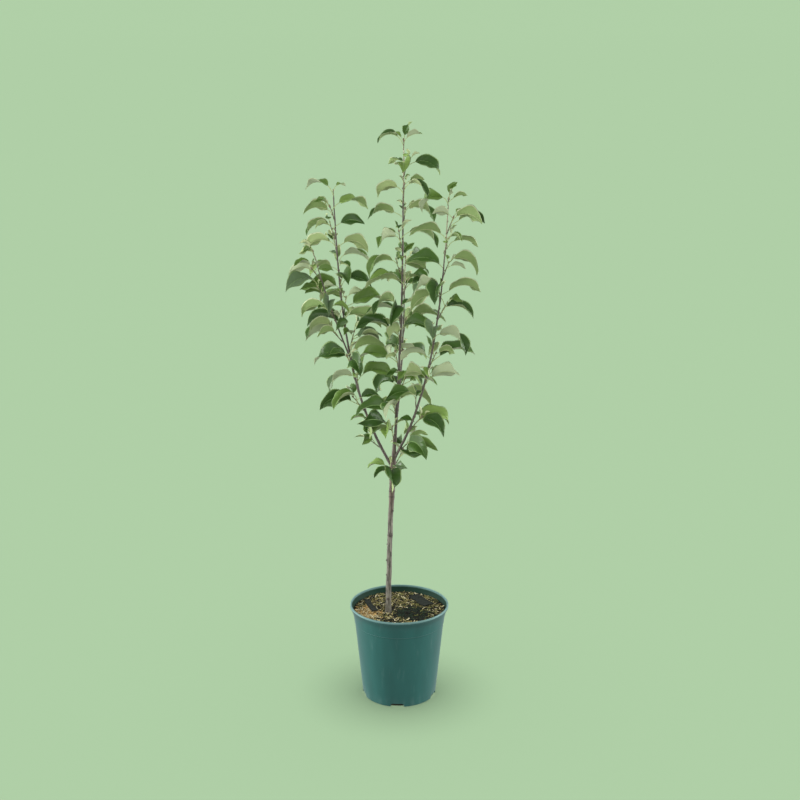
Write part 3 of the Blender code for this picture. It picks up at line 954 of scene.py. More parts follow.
def pot_finish(look):
    material, graph, plug = new_finish("pot plastic", specular_ior_level=0.30)
    spot = graph.place()
    height = graph.axis(spot, "Z")
    tone = graph.noise(spot * (1.0, 1.0, 0.22), 24.0, 3.0, 0.55)
    marks = graph.noise(spot * (1.0, 1.0, 0.12), 65.0, 4.0, 0.6)
    dust = graph.between(marks, 0.56, 0.78) * 0.35
    low = 1.0 - graph.between(height, 0.0, 0.035)
    dust = graph.clamp(dust + low * graph.between(marks, 0.42, 0.70) * 0.35)
    dark = shade(look.plastic, 0.5)
    wall = graph.mix(graph.between(tone, 0.30, 0.70), shade(look.plastic, 0.82), look.plastic)
    wall = graph.mix(dust, wall, look.dust)
    # Painted shade under the rim: from a little under the bead up to the rim, the wall is darkened
    # towards the dark plastic.
    painted_shade_under_rim = graph.between(height, POT_HEIGHT - 0.024, POT_HEIGHT - 0.012)
    wall = graph.mix(painted_shade_under_rim * 0.4, wall, dark)
    part = graph.clamp((height - BELL_FROM) / (POT_HEIGHT - BEAD_HEIGHT - BELL_FROM), 0.0, 1.0)
    flare = part * part * BELL_FLARE
    radius = graph.distance(spot * (1.0, 1.0, 0.0), (0.0, 0.0, 0.0))
    across = radius - height * WALL_TAPER - flare
    # Painted shade: the inner face of the wall, above the pot's floor, takes the dark Inside colour
    # for the shade inside the pot.
    inside = graph.between(across, FOOT_RADIUS - 0.1 * WALL, FOOT_RADIUS - 0.5 * WALL)
    wall = graph.mix(inside * graph.between(height, FLOOR, 2.0 * FLOOR), wall, look.inner)
    # A paler band along the top of the rim, and a faint pale line on the ring step, both with
    # patchy edges.
    patchy = graph.noise(spot, 180.0, 2.0, 0.5)
    edge = graph.between(height + (patchy - 0.5) * 0.0016, POT_HEIGHT - 0.0058, POT_HEIGHT - 0.0020)
    ring = graph.near(height + (patchy - 0.5) * 0.0006, RING_HEIGHT, 0.0012, 0.0003)
    # A darker line just below the ring step.
    line_below_ring = graph.near(height, RING_HEIGHT - 0.0024, 0.0012, 0.0003)
    wall = graph.mix(line_below_ring * 0.3, wall, dark)
    edge = graph.largest([edge, ring * 0.22])
    grain = graph.noise(spot, 1400.0, 2.0, 0.5)
    plug(
        base_color=graph.mix(edge, wall, look.rim),
        roughness=graph.clamp(look.roughness + (tone - 0.5) * 0.20 + dust * 0.5 + inside * 0.30),
        normal=graph.bump(grain, 0.5, look.grain),
    )
    return material


class MakePot(bpy.types.Operator):
    """Turn the pot, cut its drain notches and give it its plastic"""

    bl_idname = "appletree.pot"
    bl_label = "Pot"

    def execute(self, context):
        points = [(radius, 0.0, height) for radius, height in pot_profile()]
        edges = [(i, i + 1) for i in range(len(points) - 1)]
        mesh = bpy.data.meshes.new("pot_shell")
        mesh.from_pydata(points, edges, [])
        guide = link("guide", mesh)
        turn = guide.modifiers.new("Turn", "SCREW")
        turn.steps = turn.render_steps = POT_STEPS
        turn.use_merge_vertices = True
        turn.merge_threshold = 0.00001
        cutters = [notch_cutter(number) for number in range(NOTCH_COUNT)]
        for cutter in cutters:
            cut = guide.modifiers.new("Notch", "BOOLEAN")
            cut.operation = "DIFFERENCE"
            cut.object = cutter
        bevel = guide.modifiers.new("Edges", "BEVEL")
        bevel.width = NOTCH_BEVEL
        bevel.segments = 2
        bevel.angle_limit = math.radians(BEVEL_ANGLE)
        shell = evaluated_mesh(guide)
        unlink(cutters + [guide])
        bm = bmesh.new()
        bm.from_mesh(shell)
        bmesh.ops.remove_doubles(bm, verts=bm.verts, dist=1e-6)
        bmesh.ops.recalc_face_normals(bm, faces=bm.faces)
        bm.to_mesh(shell)
        bm.free()
        smooth_by_angle(shell, SHARP_ANGLE)
        shell.materials.clear()
        shell.materials.append(pot_finish(context.scene.apple_pot))
        keep(link("pot_shell", shell), "pot", "pot")
        return {"FINISHED"}


# Compost


def chip_shape(rule, size):
    """A shred of bark, flat or as slim as a fibre, that bends along its length."""
    bm = bmesh.new()
    wide = 0.5 * size * rule.choice(CHIP_WIDTHS)
    thick = min(wide, 0.5 * size * rule.uniform(0.07, 0.13))
    bend, curl = size * rule.uniform(-0.25, 0.25), size * rule.uniform(-0.12, 0.12)
    rings = []
    for along in (-1.0, -0.4, 0.35, 1.0):
        slim = 1.0 - 0.5 * along * along + rule.uniform(-0.12, 0.12)
        ring = []
        for y, z in ((-1, -1), (1, -1), (1, 1), (-1, 1)):
            corner = Vector((0.0, wide * slim * y, thick * z))
            corner += along**2 * Vector((0.0, bend, curl))
            corner.x = 0.5 * size * (along + rule.uniform(-0.08, 0.08))
            ring.append(bm.verts.new(corner))
        rings.append(ring)
    for first, second in zip(rings, rings[1:]):
        for i in range(4):
            bm.faces.new((first[i], first[i - 1], second[i - 1], second[i]))
    bm.faces.new(rings[0])
    bm.faces.new(rings[-1])
    bmesh.ops.recalc_face_normals(bm, faces=bm.faces)
    return as_mesh(bm, "chip")


def chip_tree(materials):
    """Scatters chips over a disc and deals them their finish by zone."""
    graph, wires = new_shape_tree("compost chips", [
        ("Spacing", "Float", 0.004),
        ("Seed", "Int", 0),
        ("Chips", "Collection", None),
    ])
    points = graph.add("GeometryNodeDistributePointsOnFaces", {"distribute_method": "POISSON"}, {
        "Mesh": wires["Geometry"], "Distance Min": wires["Spacing"], "Density Max": 200000.0,
        "Seed": wires["Seed"],
    })

    def pick(kind, low, high, seed):
        inputs = {"Min": low, "Max": high, "Seed": seed}
        return graph.add("FunctionNodeRandomValue", {"data_type": kind}, inputs)

    chips = graph.add("GeometryNodeCollectionInfo", {}, {
        "Collection": wires["Chips"], "Separate Children": True, "Reset Children": True,
    })
    tilt = pick("FLOAT_VECTOR", (-0.40, -0.40, 0.0), (0.40, 0.40, 6.2832), 1)
    index = pick("INT", 0, CHIP_SHAPES - 1, 2)
    size = pick("FLOAT", *CHIP_SIZES, 3)
    draw = pick("FLOAT", 0.0, 1.0, 4)
    lift = pick("FLOAT", *CHIP_LIFTS, 5)
    spot = graph.add("GeometryNodeInputPosition", {}, {})
    ragged = (graph.noise(spot, 60.0, 2.0) - 0.5) * 0.05
    rust = graph.between(graph.distance(spot, RUSTY_PLACE) + ragged, *RUSTY_FADE)
    wet = graph.between(graph.distance(spot, MOSSY_PLACE) + ragged, *MOSSY_FADE)
    zone = (draw > 0.36) * float(OLIVE) + (draw > 0.56) * 1.0 + (draw > 0.70) * 2.0
    warm = rust > draw * 0.8 + 0.12
    zone = zone * (1.0 - warm) + warm * (float(RUST) - (draw > 0.48) * 1.0)
    damp = wet > draw * 0.85 + 0.05
    wet_zone = float(WET) + (draw > 0.45) * 1.0 - (draw < 0.08) * 3.0
    zone = zone * (1.0 - damp) + damp * wet_zone
    number = {"data_type": "FLOAT", "domain": "POINT"}
    stored = graph.add("GeometryNodeStoreNamedAttribute", number, {
        "Geometry": points, "Name": "zone", "Value": zone,
    })
    placed = graph.add("GeometryNodeInstanceOnPoints", {}, {
        "Points": graph.set_position(stored, Offset=graph.join_xyz(0.0, 0.0, lift)),
        "Instance": chips, "Pick Instance": True, "Instance Index": index,
        "Rotation": graph.add("FunctionNodeEulerToRotation", {}, {0: tilt}),
        "Scale": graph.join_xyz(size, size, size),
    })
    paints = coded(graph, materials, attribute(graph, "zone"))
    return end_tree(graph, placed, paints, smooth=False)


def plain_finish(name, tone, roughness, spread=0.0, scale=300.0, **more):
    """A matt finish whose tone wanders a little where spread isn't 0."""
    material, graph, plug = new_finish(
        name, base_color=tone, roughness=roughness, specular_ior_level=0.25, **more
    )
    if spread:
        mottle = graph.noise(graph.place(), scale, 3.0, 0.6)
        dark, light = shade(tone, 1.0 - spread), shade(tone, 1.0 + spread)
        plug(base_color=graph.mix(graph.between(mottle, 0.3, 0.7), dark, light))
    return material


def soil_finish(look):
    material, graph, plug = new_finish("peat", roughness=0.95, specular_ior_level=0.2)
    spot = graph.place()
    crumbs = graph.speckle(spot, 260.0)
    fine = graph.noise(spot, 420.0, 4.0, 0.65)
    straw = graph.between(fine, 0.56, 0.70) * 0.7
    soil = graph.mix(graph.between(crumbs, 0.15, 0.55), look.soil, shade(look.soil, 0.35))
    warm = graph.between(graph.distance(spot, RUSTY_PLACE) + (fine - 0.5) * 0.02, 0.050, 0.026)
    soil = graph.mix(warm * 0.55, soil, shade(look.rust, 0.6))
    top = graph.between(graph.axis(spot, "Z"), COMPOST_TOP - 0.03, COMPOST_TOP - 0.01)
    plug(
        base_color=graph.mix(top, look.soil, graph.mix(straw, soil, look.straw)),
        normal=graph.bump(crumbs + fine, 0.9, 0.0020),
    )
    return material


def flake_finish(look):
    material, graph, plug = new_finish("flake bark", roughness=0.82, specular_ior_level=0.25)
    spot = graph.place()
    fibre = graph.noise(spot * (1.0, 0.35, 1.0), 420.0, 4.0, 0.6)
    dark, light = shade(look.flake, 0.45), shade(look.flake, 1.7)
    plug(
        base_color=graph.mix(graph.between(fibre, 0.25, 0.75), dark, light),
        normal=graph.bump(fibre, 0.8, 0.0010),
    )
    return material


def flake_part(name):
    """One bark flake, with ragged edges and a fibrous face."""
    long, wide, x, y, turn = FLAKES[name]
    rule = random.Random(name)
    edges = {side: [rule.uniform(0.74, 1.0) for _ in range(6)] for side in (False, True)}
    slants = {side: rule.uniform(-0.22, 0.22) for side in (False, True)}
    bm = bmesh.new()
    columns, rows = FLAKE_GRID
    bmesh.ops.create_grid(bm, x_segments=columns, y_segments=rows, size=0.5)
    for vertex in bm.verts:
        px, py = vertex.co.x, vertex.co.y
        ragged = noise.noise(Vector((9.0 * px, 3.0 * py, x * 90.0)))
        frayed = noise.noise(Vector((26.0 * px, 26.0 * py, y * 70.0)))
        step = min(4, int(5.0 * (px + 0.5)))
        share = 5.0 * (px + 0.5) - step
        trim = edges[py > 0.0][step] * (1.0 - share) + edges[py > 0.0][step + 1] * share
        slant = slants[px > 0.0] * py * abs(2.0 * px) ** 3 * 0.5
        vertex.co.x = long * (px * (1.0 + 0.05 * frayed) + slant)
        vertex.co.y = wide * py * min(1.0, trim + 0.08 * frayed)
        vertex.co.z = 0.0011 + 0.0012 * ragged + 0.0005 * frayed + 0.0010 * (2.0 * px) ** 2
    bottom = bmesh.ops.extrude_face_region(bm, geom=bm.faces[:])
    for item in bottom["geom"]:
        if isinstance(item, bmesh.types.BMVert):
            item.co.z -= FLAKE_THICK
    bmesh.ops.recalc_face_normals(bm, faces=bm.faces)
    place = Matrix.Translation((x, y, COMPOST_TOP + GAP + FLAKE_LIFT))
    place @= Matrix.Rotation(math.radians(turn), 4, "Z")
    bmesh.ops.transform(bm, matrix=place, verts=bm.verts)
    return as_mesh(bm, name)


def flake_mesh():
    """Both bark flakes in one mesh."""
    bm = bmesh.new()
    for name in FLAKES:
        part = flake_part(name)
        bm.from_mesh(part)
        bpy.data.meshes.remove(part)
    return as_mesh(bm, "bark_flakes")


class MakeCompost(bpy.types.Operator):
    """Cover the compost with peat, chips, moss and two flakes of bark"""

    bl_idname = "appletree.compost"
    bl_label = "Compost"

    def execute(self, context):
        look = context.scene.apple_compost
        compost = frame["nodes"]["compost"]
        for place in compost.material_slots:
            place.material = soil_finish(look)
        rule = random.Random(look.seed)
        pool = bpy.data.collections.new("chips")
        for number in range(CHIP_SHAPES):
            chip = bpy.data.objects.new(f"chip_{number}", chip_shape(rule, look.chip))
            pool.objects.link(chip)
        finishes = [
            plain_finish("straw chips", look.straw, 0.85),
            plain_finish("olive chips", look.olive, 0.85),
            plain_finish("pale chips", look.pale, 0.80),
            plain_finish("rust chips", look.rust, 0.85),
            plain_finish("wet chips", look.dark, 0.70),
            plain_finish("moss", look.moss, 0.95),
        ]
        disc = bmesh.new()
        reach = wall_radius(COMPOST_TOP) - WALL - 0.6 * look.chip
        bmesh.ops.create_circle(disc, cap_ends=True, segments=48, radius=reach)
        bmesh.ops.translate(disc, vec=(0.0, 0.0, COMPOST_TOP), verts=disc.verts)
        values = {"Spacing": look.spacing, "Seed": look.seed, "Chips": pool}
        chips = shaped("compost_chips", as_mesh(disc, "disc"), chip_tree(finishes), values)
        unlink(pool.objects)
        bpy.data.collections.remove(pool)
        keep(chips, "compost")
        flakes = flake_mesh()
        smooth_by_angle(flakes)
        flakes.materials.append(flake_finish(look))
        keep(link("bark_flakes", flakes), "bark_flake", *FLAKES)
        return {"FINISHED"}


# Bark, stalks and buds, all tubes along paths


def path_mesh(paths):
    """Polylines of (point, radius) pairs, with the radius kept as an attribute."""
    points = [point for path in paths for point, _ in path]
    girths = [girth for path in paths for _, girth in path]
    edges = []
    first = 0
    for path in paths:
        edges += [(first + i, first + i + 1) for i in range(len(path) - 1)]
        first += len(path)
    mesh = bpy.data.meshes.new("paths")
    mesh.from_pydata(points, edges, [])
    store(mesh, "girth", girths)
    return mesh


def tube_tree(material):
    """Tubes of the paths' own girth, with a relief of streaks and rings."""
    graph, wires = new_shape_tree("tubes", [
        ("Sides", "Int", 8),
        ("Relief", "Float", 0.0),
        ("Grain", "Float", 500.0),
    ])
    curve = graph.add("GeometryNodeMeshToCurve", {}, {"Mesh": wires["Geometry"]})
    sides = {"Resolution": wires["Sides"], "Radius": 1.0}
    ring = graph.add("GeometryNodeCurvePrimitiveCircle", {}, sides)
    tube = graph.add("GeometryNodeCurveToMesh", {}, {
        "Curve": curve, "Profile Curve": ring, "Scale": attribute(graph, "girth"),
        "Fill Caps": True,
    })
    spot = graph.add("GeometryNodeInputPosition", {}, {})
    normal = graph.add("GeometryNodeInputNormal", {}, {})
    streaks = graph.noise(spot * (1.0, 1.0, 0.16), wires["Grain"], 4.0, 0.6) - 0.5
    rings = graph.noise(spot * (0.25, 0.25, 1.0), wires["Grain"] * 0.5, 2.0, 0.5) - 0.5
    specks = graph.speckle(spot * (0.6, 0.6, 1.0), wires["Grain"] * 0.42)
    warts = graph.between(specks, 0.26, 0.10)
    lift = (streaks * 1.5 + rings * 0.8 + warts * 0.35) * wires["Relief"]
    return end_tree(graph, graph.set_position(tube, Offset=normal * lift), [(None, material)])


def tubes(name, paths, material, sides, relief=0.0, grain=500.0):
    values = {"Sides": sides, "Relief": relief, "Grain": grain}
    return shaped(name, path_mesh(paths), tube_tree(material), values)


def bulges(height, places, spread):
    """Sum of a soft bulge at each place."""
    return sum(math.exp(-(((height - place) / spread) ** 2)) for place in places)


def limb_path(limb, spurs):
    """A limb's centre line, a little thicker at each spur and at its foot."""
    noise.seed_set(WANDER_SEED)
    step = TRUNK_RING if limb.parent is None else BOUGH_RING
    count = math.ceil(limb.rise / step)
    knobs = [spur.height for spur in spurs if spur.limb is limb]
    path = []
    for i in range(count + 1):
        height = limb.foot + limb.rise * i / count
        gained = height - limb.foot
        swell = min(1.0, bulges(height, knobs, KNOB_HEIGHT))
        girth = limb.radius(height) * (1.0 + KNOB_SWELL * swell)
        if limb.parent is not None:
            swell, fall, rise = COLLAR
            girth *= 1.0 + swell * math.exp(-gained / fall) * min(1.0, gained / rise)
        else:
            girth += FORK_GIRTH * bulges(height, (FORK_AT,), FORK_SPREAD)
            girth += FOOT_GIRTH * max(0.0, 1.0 - gained / FOOT_RISE)
            girth *= 1.0 + SCAR_SWELL * bulges(height, SCARS, SCAR_HEIGHT)
        point = limb.point(height)
        aside = WANDER * min(1.0, 20.0 * gained) * noise.noise_vector(22.0 * point)
        path.append((point + aside, girth))
    return path


def bark_finish(name, look, young_from, trunk=False):
    """Bark that is streaked low on the trunk, dark on the boughs and pale at the tips."""
    material, graph, plug = new_finish(name, specular_ior_level=0.35)
    spot = graph.place()
    height = graph.axis(spot, "Z")
    streaks = graph.noise(spot * (1.0, 1.0, 0.07), 420.0, 4.0, 0.62)
    blotches = graph.noise(spot * (1.0, 1.0, 0.45), 95.0, 3.0, 0.55)
    flecks = graph.speckle(spot * (0.5, 0.5, 1.0), 330.0)

    def streaked(low, high, first, second):
        return graph.mix(graph.between(streaks, low, high), first, second)

    def uneven_height(play):
        return height + (blotches - 0.5) * play

    bark = streaked(0.35, 0.68, shade(look.bough, 0.62), shade(look.bough, 1.35))
    if trunk:
        grey = streaked(0.42, 0.72, look.trunk, look.streak)
        grey = graph.mix(graph.between(blotches, 0.47, 0.62) * 0.80, grey, shade(look.trunk, 0.45))
        cracks = graph.noise(spot * (1.0, 1.0, 0.5), 170.0, 3.0, 0.7)
        grey = graph.mix(graph.between(cracks, 0.63, 0.72) * 0.8, grey, look.knot)
        brown = streaked(0.35, 0.65, look.knot, look.brown)
        grey = graph.mix(graph.between(uneven_height(0.12), 0.46, 0.53) * 0.85, grey, brown)
        ringed = uneven_height(0.006)
        marks = [graph.near(ringed, scar, 0.0024, 0.0008) for scar in SCARS]
        for level, turn, size in KNOTS:
            middle = TRUNK.point(level) + TRUNK.radius(level) * heading_vector(turn)
            marks.append(graph.between(graph.distance(spot, middle), 1.25 * size, 0.55 * size))
        grey = graph.mix(graph.largest(marks) * 0.85, grey, look.knot)
        bark = graph.mix(graph.between(uneven_height(0.10), *TRUNK_FADE), grey, bark)
    pale = graph.between(flecks, 0.16, 0.07) * 0.55
    bark = graph.mix(pale, bark, look.streak)
    young = graph.between(uneven_height(0.03), young_from, young_from + YOUNG_FADE)
    tender = streaked(0.3, 0.7, shade(look.tip, 0.75), look.tip)
    plug(
        base_color=graph.mix(young, bark, tender),
        roughness=graph.clamp(0.62 + (streaks - 0.5) * 0.5 - young * 0.12),
        normal=graph.bump(streaks + blotches * 0.5 + pale * 0.4, 0.7, 0.0005),
    )
    return material


def bezier(start, lead, follow, end, steps):
    """Points of a cubic curve from start to end."""
    points = []
    for i in range(steps + 1):
        t = i / steps
        s = 1.0 - t
        points.append(s**3 * start + 3 * s * s * t * lead + 3 * s * t * t * follow + t**3 * end)
    return points


def stalk_path(leaf):
    """A leaf stalk that bends into the blade and runs on as its midrib underneath."""
    reach = (leaf.base - leaf.node).length
    sprout = ((leaf.base - leaf.node).normalized() + Vector((0.0, 0.0, 0.35))).normalized()
    lead = leaf.node + 0.4 * reach * sprout
    follow = leaf.base - 0.35 * reach * leaf.slanted(leaf.start)
    points = bezier(leaf.node, lead, follow, leaf.base, STALK_STEPS)
    thin = leaf.length / FULL_LEAF
    path = []
    for i, point in enumerate(points):
        foot = 0.9 * math.exp(-4.0 * i / STALK_STEPS)
        path.append((point, PETIOLE_RADIUS * (0.62 + 0.3 * thin + 0.5 * foot)))
    for i in range(1, RIB_STEPS + 1):
        along = RIB_END * i / RIB_STEPS
        _, face = leaf.axes(along)
        girth = PETIOLE_RADIUS * (0.62 + 0.2 * thin) * (1.0 - 0.8 * along)
        path.append((leaf.centre(along) - 0.55 * girth * face, girth))
    return path


def bud_path(foot, way, size):
    """A pointed bud."""
    return [(foot + size * along * way, 0.27 * size * girth) for along, girth in BUD_SHAPE]


def spur_path(spur):
    """A spur's stem from inside its limb to its end, ringed with old scars."""
    rule = random.Random(spur.name + " stem")
    sweep = 0.0016 * Vector((rule.uniform(-1, 1), rule.uniform(-1, 1), 0.0))
    path = [(spur.root, 1.35 * spur.radius)]
    for i in range(STEM_STEPS + 1):
        part = i / STEM_STEPS
        girth = spur.radius + (0.62 * SPUR_RADIUS - spur.radius) * part
        ring = 1.0 + STEM_RINGS * (i % 2)
        point = spur.start.lerp(spur.end, part) + math.sin(math.pi * part) * sweep
        path.append((point, 0.85 * girth * ring))
    return path


def knot_paths():
    """Low stubs where twigs were pruned off the trunk."""
    paths = []
    for height, turn, size in KNOTS:
        side = heading_vector(turn)
        foot = TRUNK.point(height) + (TRUNK.radius(height) - 0.9 * size) * side
        paths.append([(foot + size * out * side, 0.72 * size * girth) for out, girth in STUB_SHAPE])
    return paths


def dormant_buds(limb):
    """Small buds that sit against a limb between its spurs."""
    rule = random.Random(limb.name + " buds")
    paths = []
    height = max(limb.foot + 0.03, BARE_TRUNK)
    while height < limb.tip - 0.02:
        turn = heading_vector(rule.uniform(0.0, 360.0))
        tangent = limb.tangent(height)
        side = (turn - turn.dot(tangent) * tangent).normalized()
        way = (tangent + 0.45 * side).normalized()
        foot = limb.point(height) + 0.75 * limb.radius(height) * side
        paths.append(bud_path(foot, way, rule.uniform(0.0045, 0.0070)))
        height += rule.uniform(0.022, 0.045)
    return paths


class MakeBark(bpy.types.Operator):
    """Grow the trunk, the boughs, the spurs' stems and the buds"""

    bl_idname = "appletree.bark"
    bl_label = "Bark"

    def execute(self, context):
        look = context.scene.apple_bark
        spurs = grow_spurs()
        for limb in LIMBS:
            trunk = limb is TRUNK
            finish = bark_finish(f"{limb.name} bark", look, YOUNG_WOOD[limb.name], trunk)
            relief = look.relief * min(1.0, limb.foot_radius / TRUNK_RADIUS + 0.15)
            paths = [limb_path(limb, spurs)] + (knot_paths() if trunk else [])
            bark = tubes(f"{limb.name}_bark", paths, finish, 28 if trunk else 16, relief, 330.0)
            keep(bark, "bark", limb.name)
        stems = [spur_path(spur) for spur in spurs]
        twig = plain_finish("twig bark", look.twig, 0.7, 0.35, 240.0)
        keep(tubes("spur_stems", stems, twig, 8, 0.3 * look.relief, 700.0), "bark")
        buds = []
        for spur in spurs:
            rule = random.Random(spur.name + " buds")
            way = (spur.end - spur.start).normalized()
            for leaf in spur.leaves:
                aside = (way + 0.5 * leaf.out).normalized()
                buds.append(bud_path(leaf.node, aside, rule.uniform(0.0032, 0.0052)))
            buds.append(bud_path(spur.end - 0.001 * way, way, rule.uniform(0.006, 0.010)))
        for limb in LIMBS:
            buds += dormant_buds(limb)
        finish = plain_finish("bud scales", look.bud, 0.6, 0.35, 500.0)
        keep(tubes("buds", buds, finish, 7), "bark")
        return {"FINISHED"}


# Leaves


def blade_template(lines, teeth):
    """A flat blade of unit length: two skins that share a toothed margin.

    across is signed, from -1 to 1 at the margins, along runs from 0 to 1, skin is 1 on top and
    -1 underneath, and lift is 1 between the veins and -1 on them.
    """
    tooth = bpy.context.scene.apple_leaf.tooth
    verts = []

    def vertex(across, row, skin=0.0, extra=0.0):
        along = min(1.0, row + VEIN_SLANT * abs(across) * row * (1.0 - row))
        spread = across * outline(along) * (1.0 + extra)
        ridge = math.sin(math.pi * min(1.0, abs(across)) ** 0.8)
        verts.append((across, along, spread, skin, -ridge * math.cos(math.pi * (row * lines))))
        return len(verts) - 1

    foot = vertex(0.0, 0.0)
    tip = vertex(0.0, 1.0)
    signs = [-part for part in reversed(COLUMNS)] + list(COLUMNS)
    rims = {}
    for side in (-1.0, 1.0):
        rims[side] = [foot] + [vertex(side, i / lines) for i in range(1, lines)] + [tip]
    jags = {side: [] for side in (-1.0, 1.0)}
    for side, rows in jags.items():
        for i in range(lines):
            row = []
            for k in range(teeth):
                if k:
                    row.append(vertex(side, (i + k / teeth) / lines))
                if 0 < i < lines - 1:
                    row.append(vertex(side, (i + (k + TOOTH_AT) / teeth) / lines, extra=tooth))
            rows.append(row)
    faces, parts = [], []
    count = len(signs)
    for skin, body, rib, rim in ((1.0, TOP, RIB_TOP, RIM_TOP), (-1.0, UNDER, RIB_UNDER, RIM_UNDER)):
        rows = [[vertex(x, i / lines, skin) for x in signs] for i in range(1, lines)]
        grid = [[foot] * count] + rows + [[tip] * count]
        for i in range(lines):
            strips = []
            for j in range(count - 1):
                part = rib if j == count // 2 - 1 else body
                chain = [grid[i][j + 1], grid[i + 1][j + 1]]
                strips.append((grid[i][j], grid[i + 1][j], chain, False, part))
            for side, j in ((-1.0, 0), (1.0, count - 1)):
                margin = [rims[side][i], *jags[side][i], rims[side][i + 1]]
                strips.append((grid[i][j], grid[i + 1][j], margin, side < 0, rim))
            for near, far, chain, mirrored, part in strips:
                rings = fan(near, far, chain)
                faces += [ring if mirrored == (skin > 0) else ring[::-1] for ring in rings]
                parts += [part] * len(rings)
    mesh = bpy.data.meshes.new("blade")
    mesh.from_pydata([(across, along, 0.0) for across, along, *_ in verts], [], faces)
    for name, values in zip(BLADE_NUMBERS, zip(*verts)):
        store(mesh, name, values)
    store(mesh, "part", parts, "FACE")
    return mesh


def fan(near, far, chain):
    """Triangles between an edge and a chain of vertices beside it, without the empty ones."""
    middle = len(chain) // 2
    rings = [(near, chain[middle], far)]
    rings += [(near if k < middle else far, chain[k], chain[k + 1]) for k in range(len(chain) - 1)]
    return [ring for ring in rings if len(set(ring)) == 3]


def blade_tree(tops, unders, trims):
    """Bends a blade on each point to the arch, fold and roll of its leaf."""
    graph, wires = new_shape_tree("blades", [
        ("Blade", "Object", None),
        ("Thickness", "Float", 0.0004),
        ("Relief", "Float", 0.01),
        ("Wave", "Float", 0.05),
        ("Fold", "Float", 1.0),
        ("Twist", "Float", 0.0),
    ])
    blade = graph.add("GeometryNodeObjectInfo", {}, {"Object": wires["Blade"]}, "Geometry")
    points = graph.add("GeometryNodeMeshToPoints", {}, {"Mesh": wires["Geometry"]})
    placed = graph.add("GeometryNodeInstanceOnPoints", {}, {"Points": points, "Instance": blade})
    leaves = graph.add("GeometryNodeRealizeInstances", {}, {"Geometry": placed})
    across, along, spread, skin, lift = (attribute(graph, name) for name in BLADE_NUMBERS)
    length, width, start, arch, fold, roll, phase = (attribute(graph, name) for name in POSTURE)
    base = attribute(graph, "base", "FLOAT_VECTOR")
    out = attribute(graph, "out", "FLOAT_VECTOR")
    slope = start - arch * along
    span = length / arch
    centre = base + out * (span * (graph.sine(start) - graph.sine(slope)))
    centre = centre + graph.join_xyz(0.0, 0.0, span * (graph.cosine(slope) - graph.cosine(start)))
    tangent = out * graph.cosine(slope) + graph.join_xyz(0.0, 0.0, graph.sine(slope))
    flat_side = graph.cross((0.0, 0.0, 1.0), out)
    flat_face = graph.cross(tangent, flat_side)
    twist = graph.sine(phase * 43.7) * wires["Twist"]
    turn = roll * (0.82 + 0.30 * along) + twist * (1.4 * along - 0.45)
    side = flat_side * graph.cosine(turn) + flat_face * graph.sine(turn)
    face = flat_face * graph.cosine(turn) - flat_side * graph.sine(turn)
    outer = graph.clamp(graph.absolute(across), 0.0, 1.0)
    sway = graph.sine(along * 3.6 + phase * 6.28) * across * 0.46
    angle = fold * wires["Fold"] * (1.30 - 0.62 * outer) + sway
    angle = graph.maths("MINIMUM", angle, STEEPEST)
    uneven = 1.0 + graph.sine(along * 17.0 + phase * 39.0 + across * 2.2) * outer * 0.07
    half = 0.5 * width * spread * uneven
    ripple = graph.sine(along * 11.0 + phase * 6.28 + across * 1.3) * outer * outer
    ripple = ripple * width * wires["Wave"]
    ripple = ripple * graph.between(along, 0.02, 0.25) * graph.between(along, 1.0, 0.80)
    quilt = lift * length * wires["Relief"] * 0.5
    quilt = quilt * graph.between(along, 0.0, 0.15) * graph.between(along, 1.0, 0.85)
    thick = skin * 0.5 * wires["Thickness"]
    raised = graph.absolute(half) * graph.sine(angle) + ripple + quilt + thick
    position = centre + side * (half * graph.cosine(angle)) + face * raised
    bent = graph.set_position(leaves, Position=position)
    part, tint, under = (attribute(graph, name) for name in ("part", *TINTS))
    paints = coded(graph, tops, tint, part, TOP) + coded(graph, unders, under, part, UNDER)
    paints += coded(graph, trims, part - float(RIB_TOP))
    return end_tree(graph, bent, paints)


def leaf_points(leaves):
    """One point for each leaf, with its posture and tints as attributes."""
    mesh = bpy.data.meshes.new("leaves")
    mesh.from_pydata([tuple(leaf.base) for leaf in leaves], [], [])
    for name in POSTURE + TINTS:
        store(mesh, name, [float(getattr(leaf, name)) for leaf in leaves])
    for name in ("base", "out"):
        data = mesh.attributes.new(name, "FLOAT_VECTOR", "POINT").data
        data.foreach_set("vector", [part for leaf in leaves for part in getattr(leaf, name)])
    return mesh


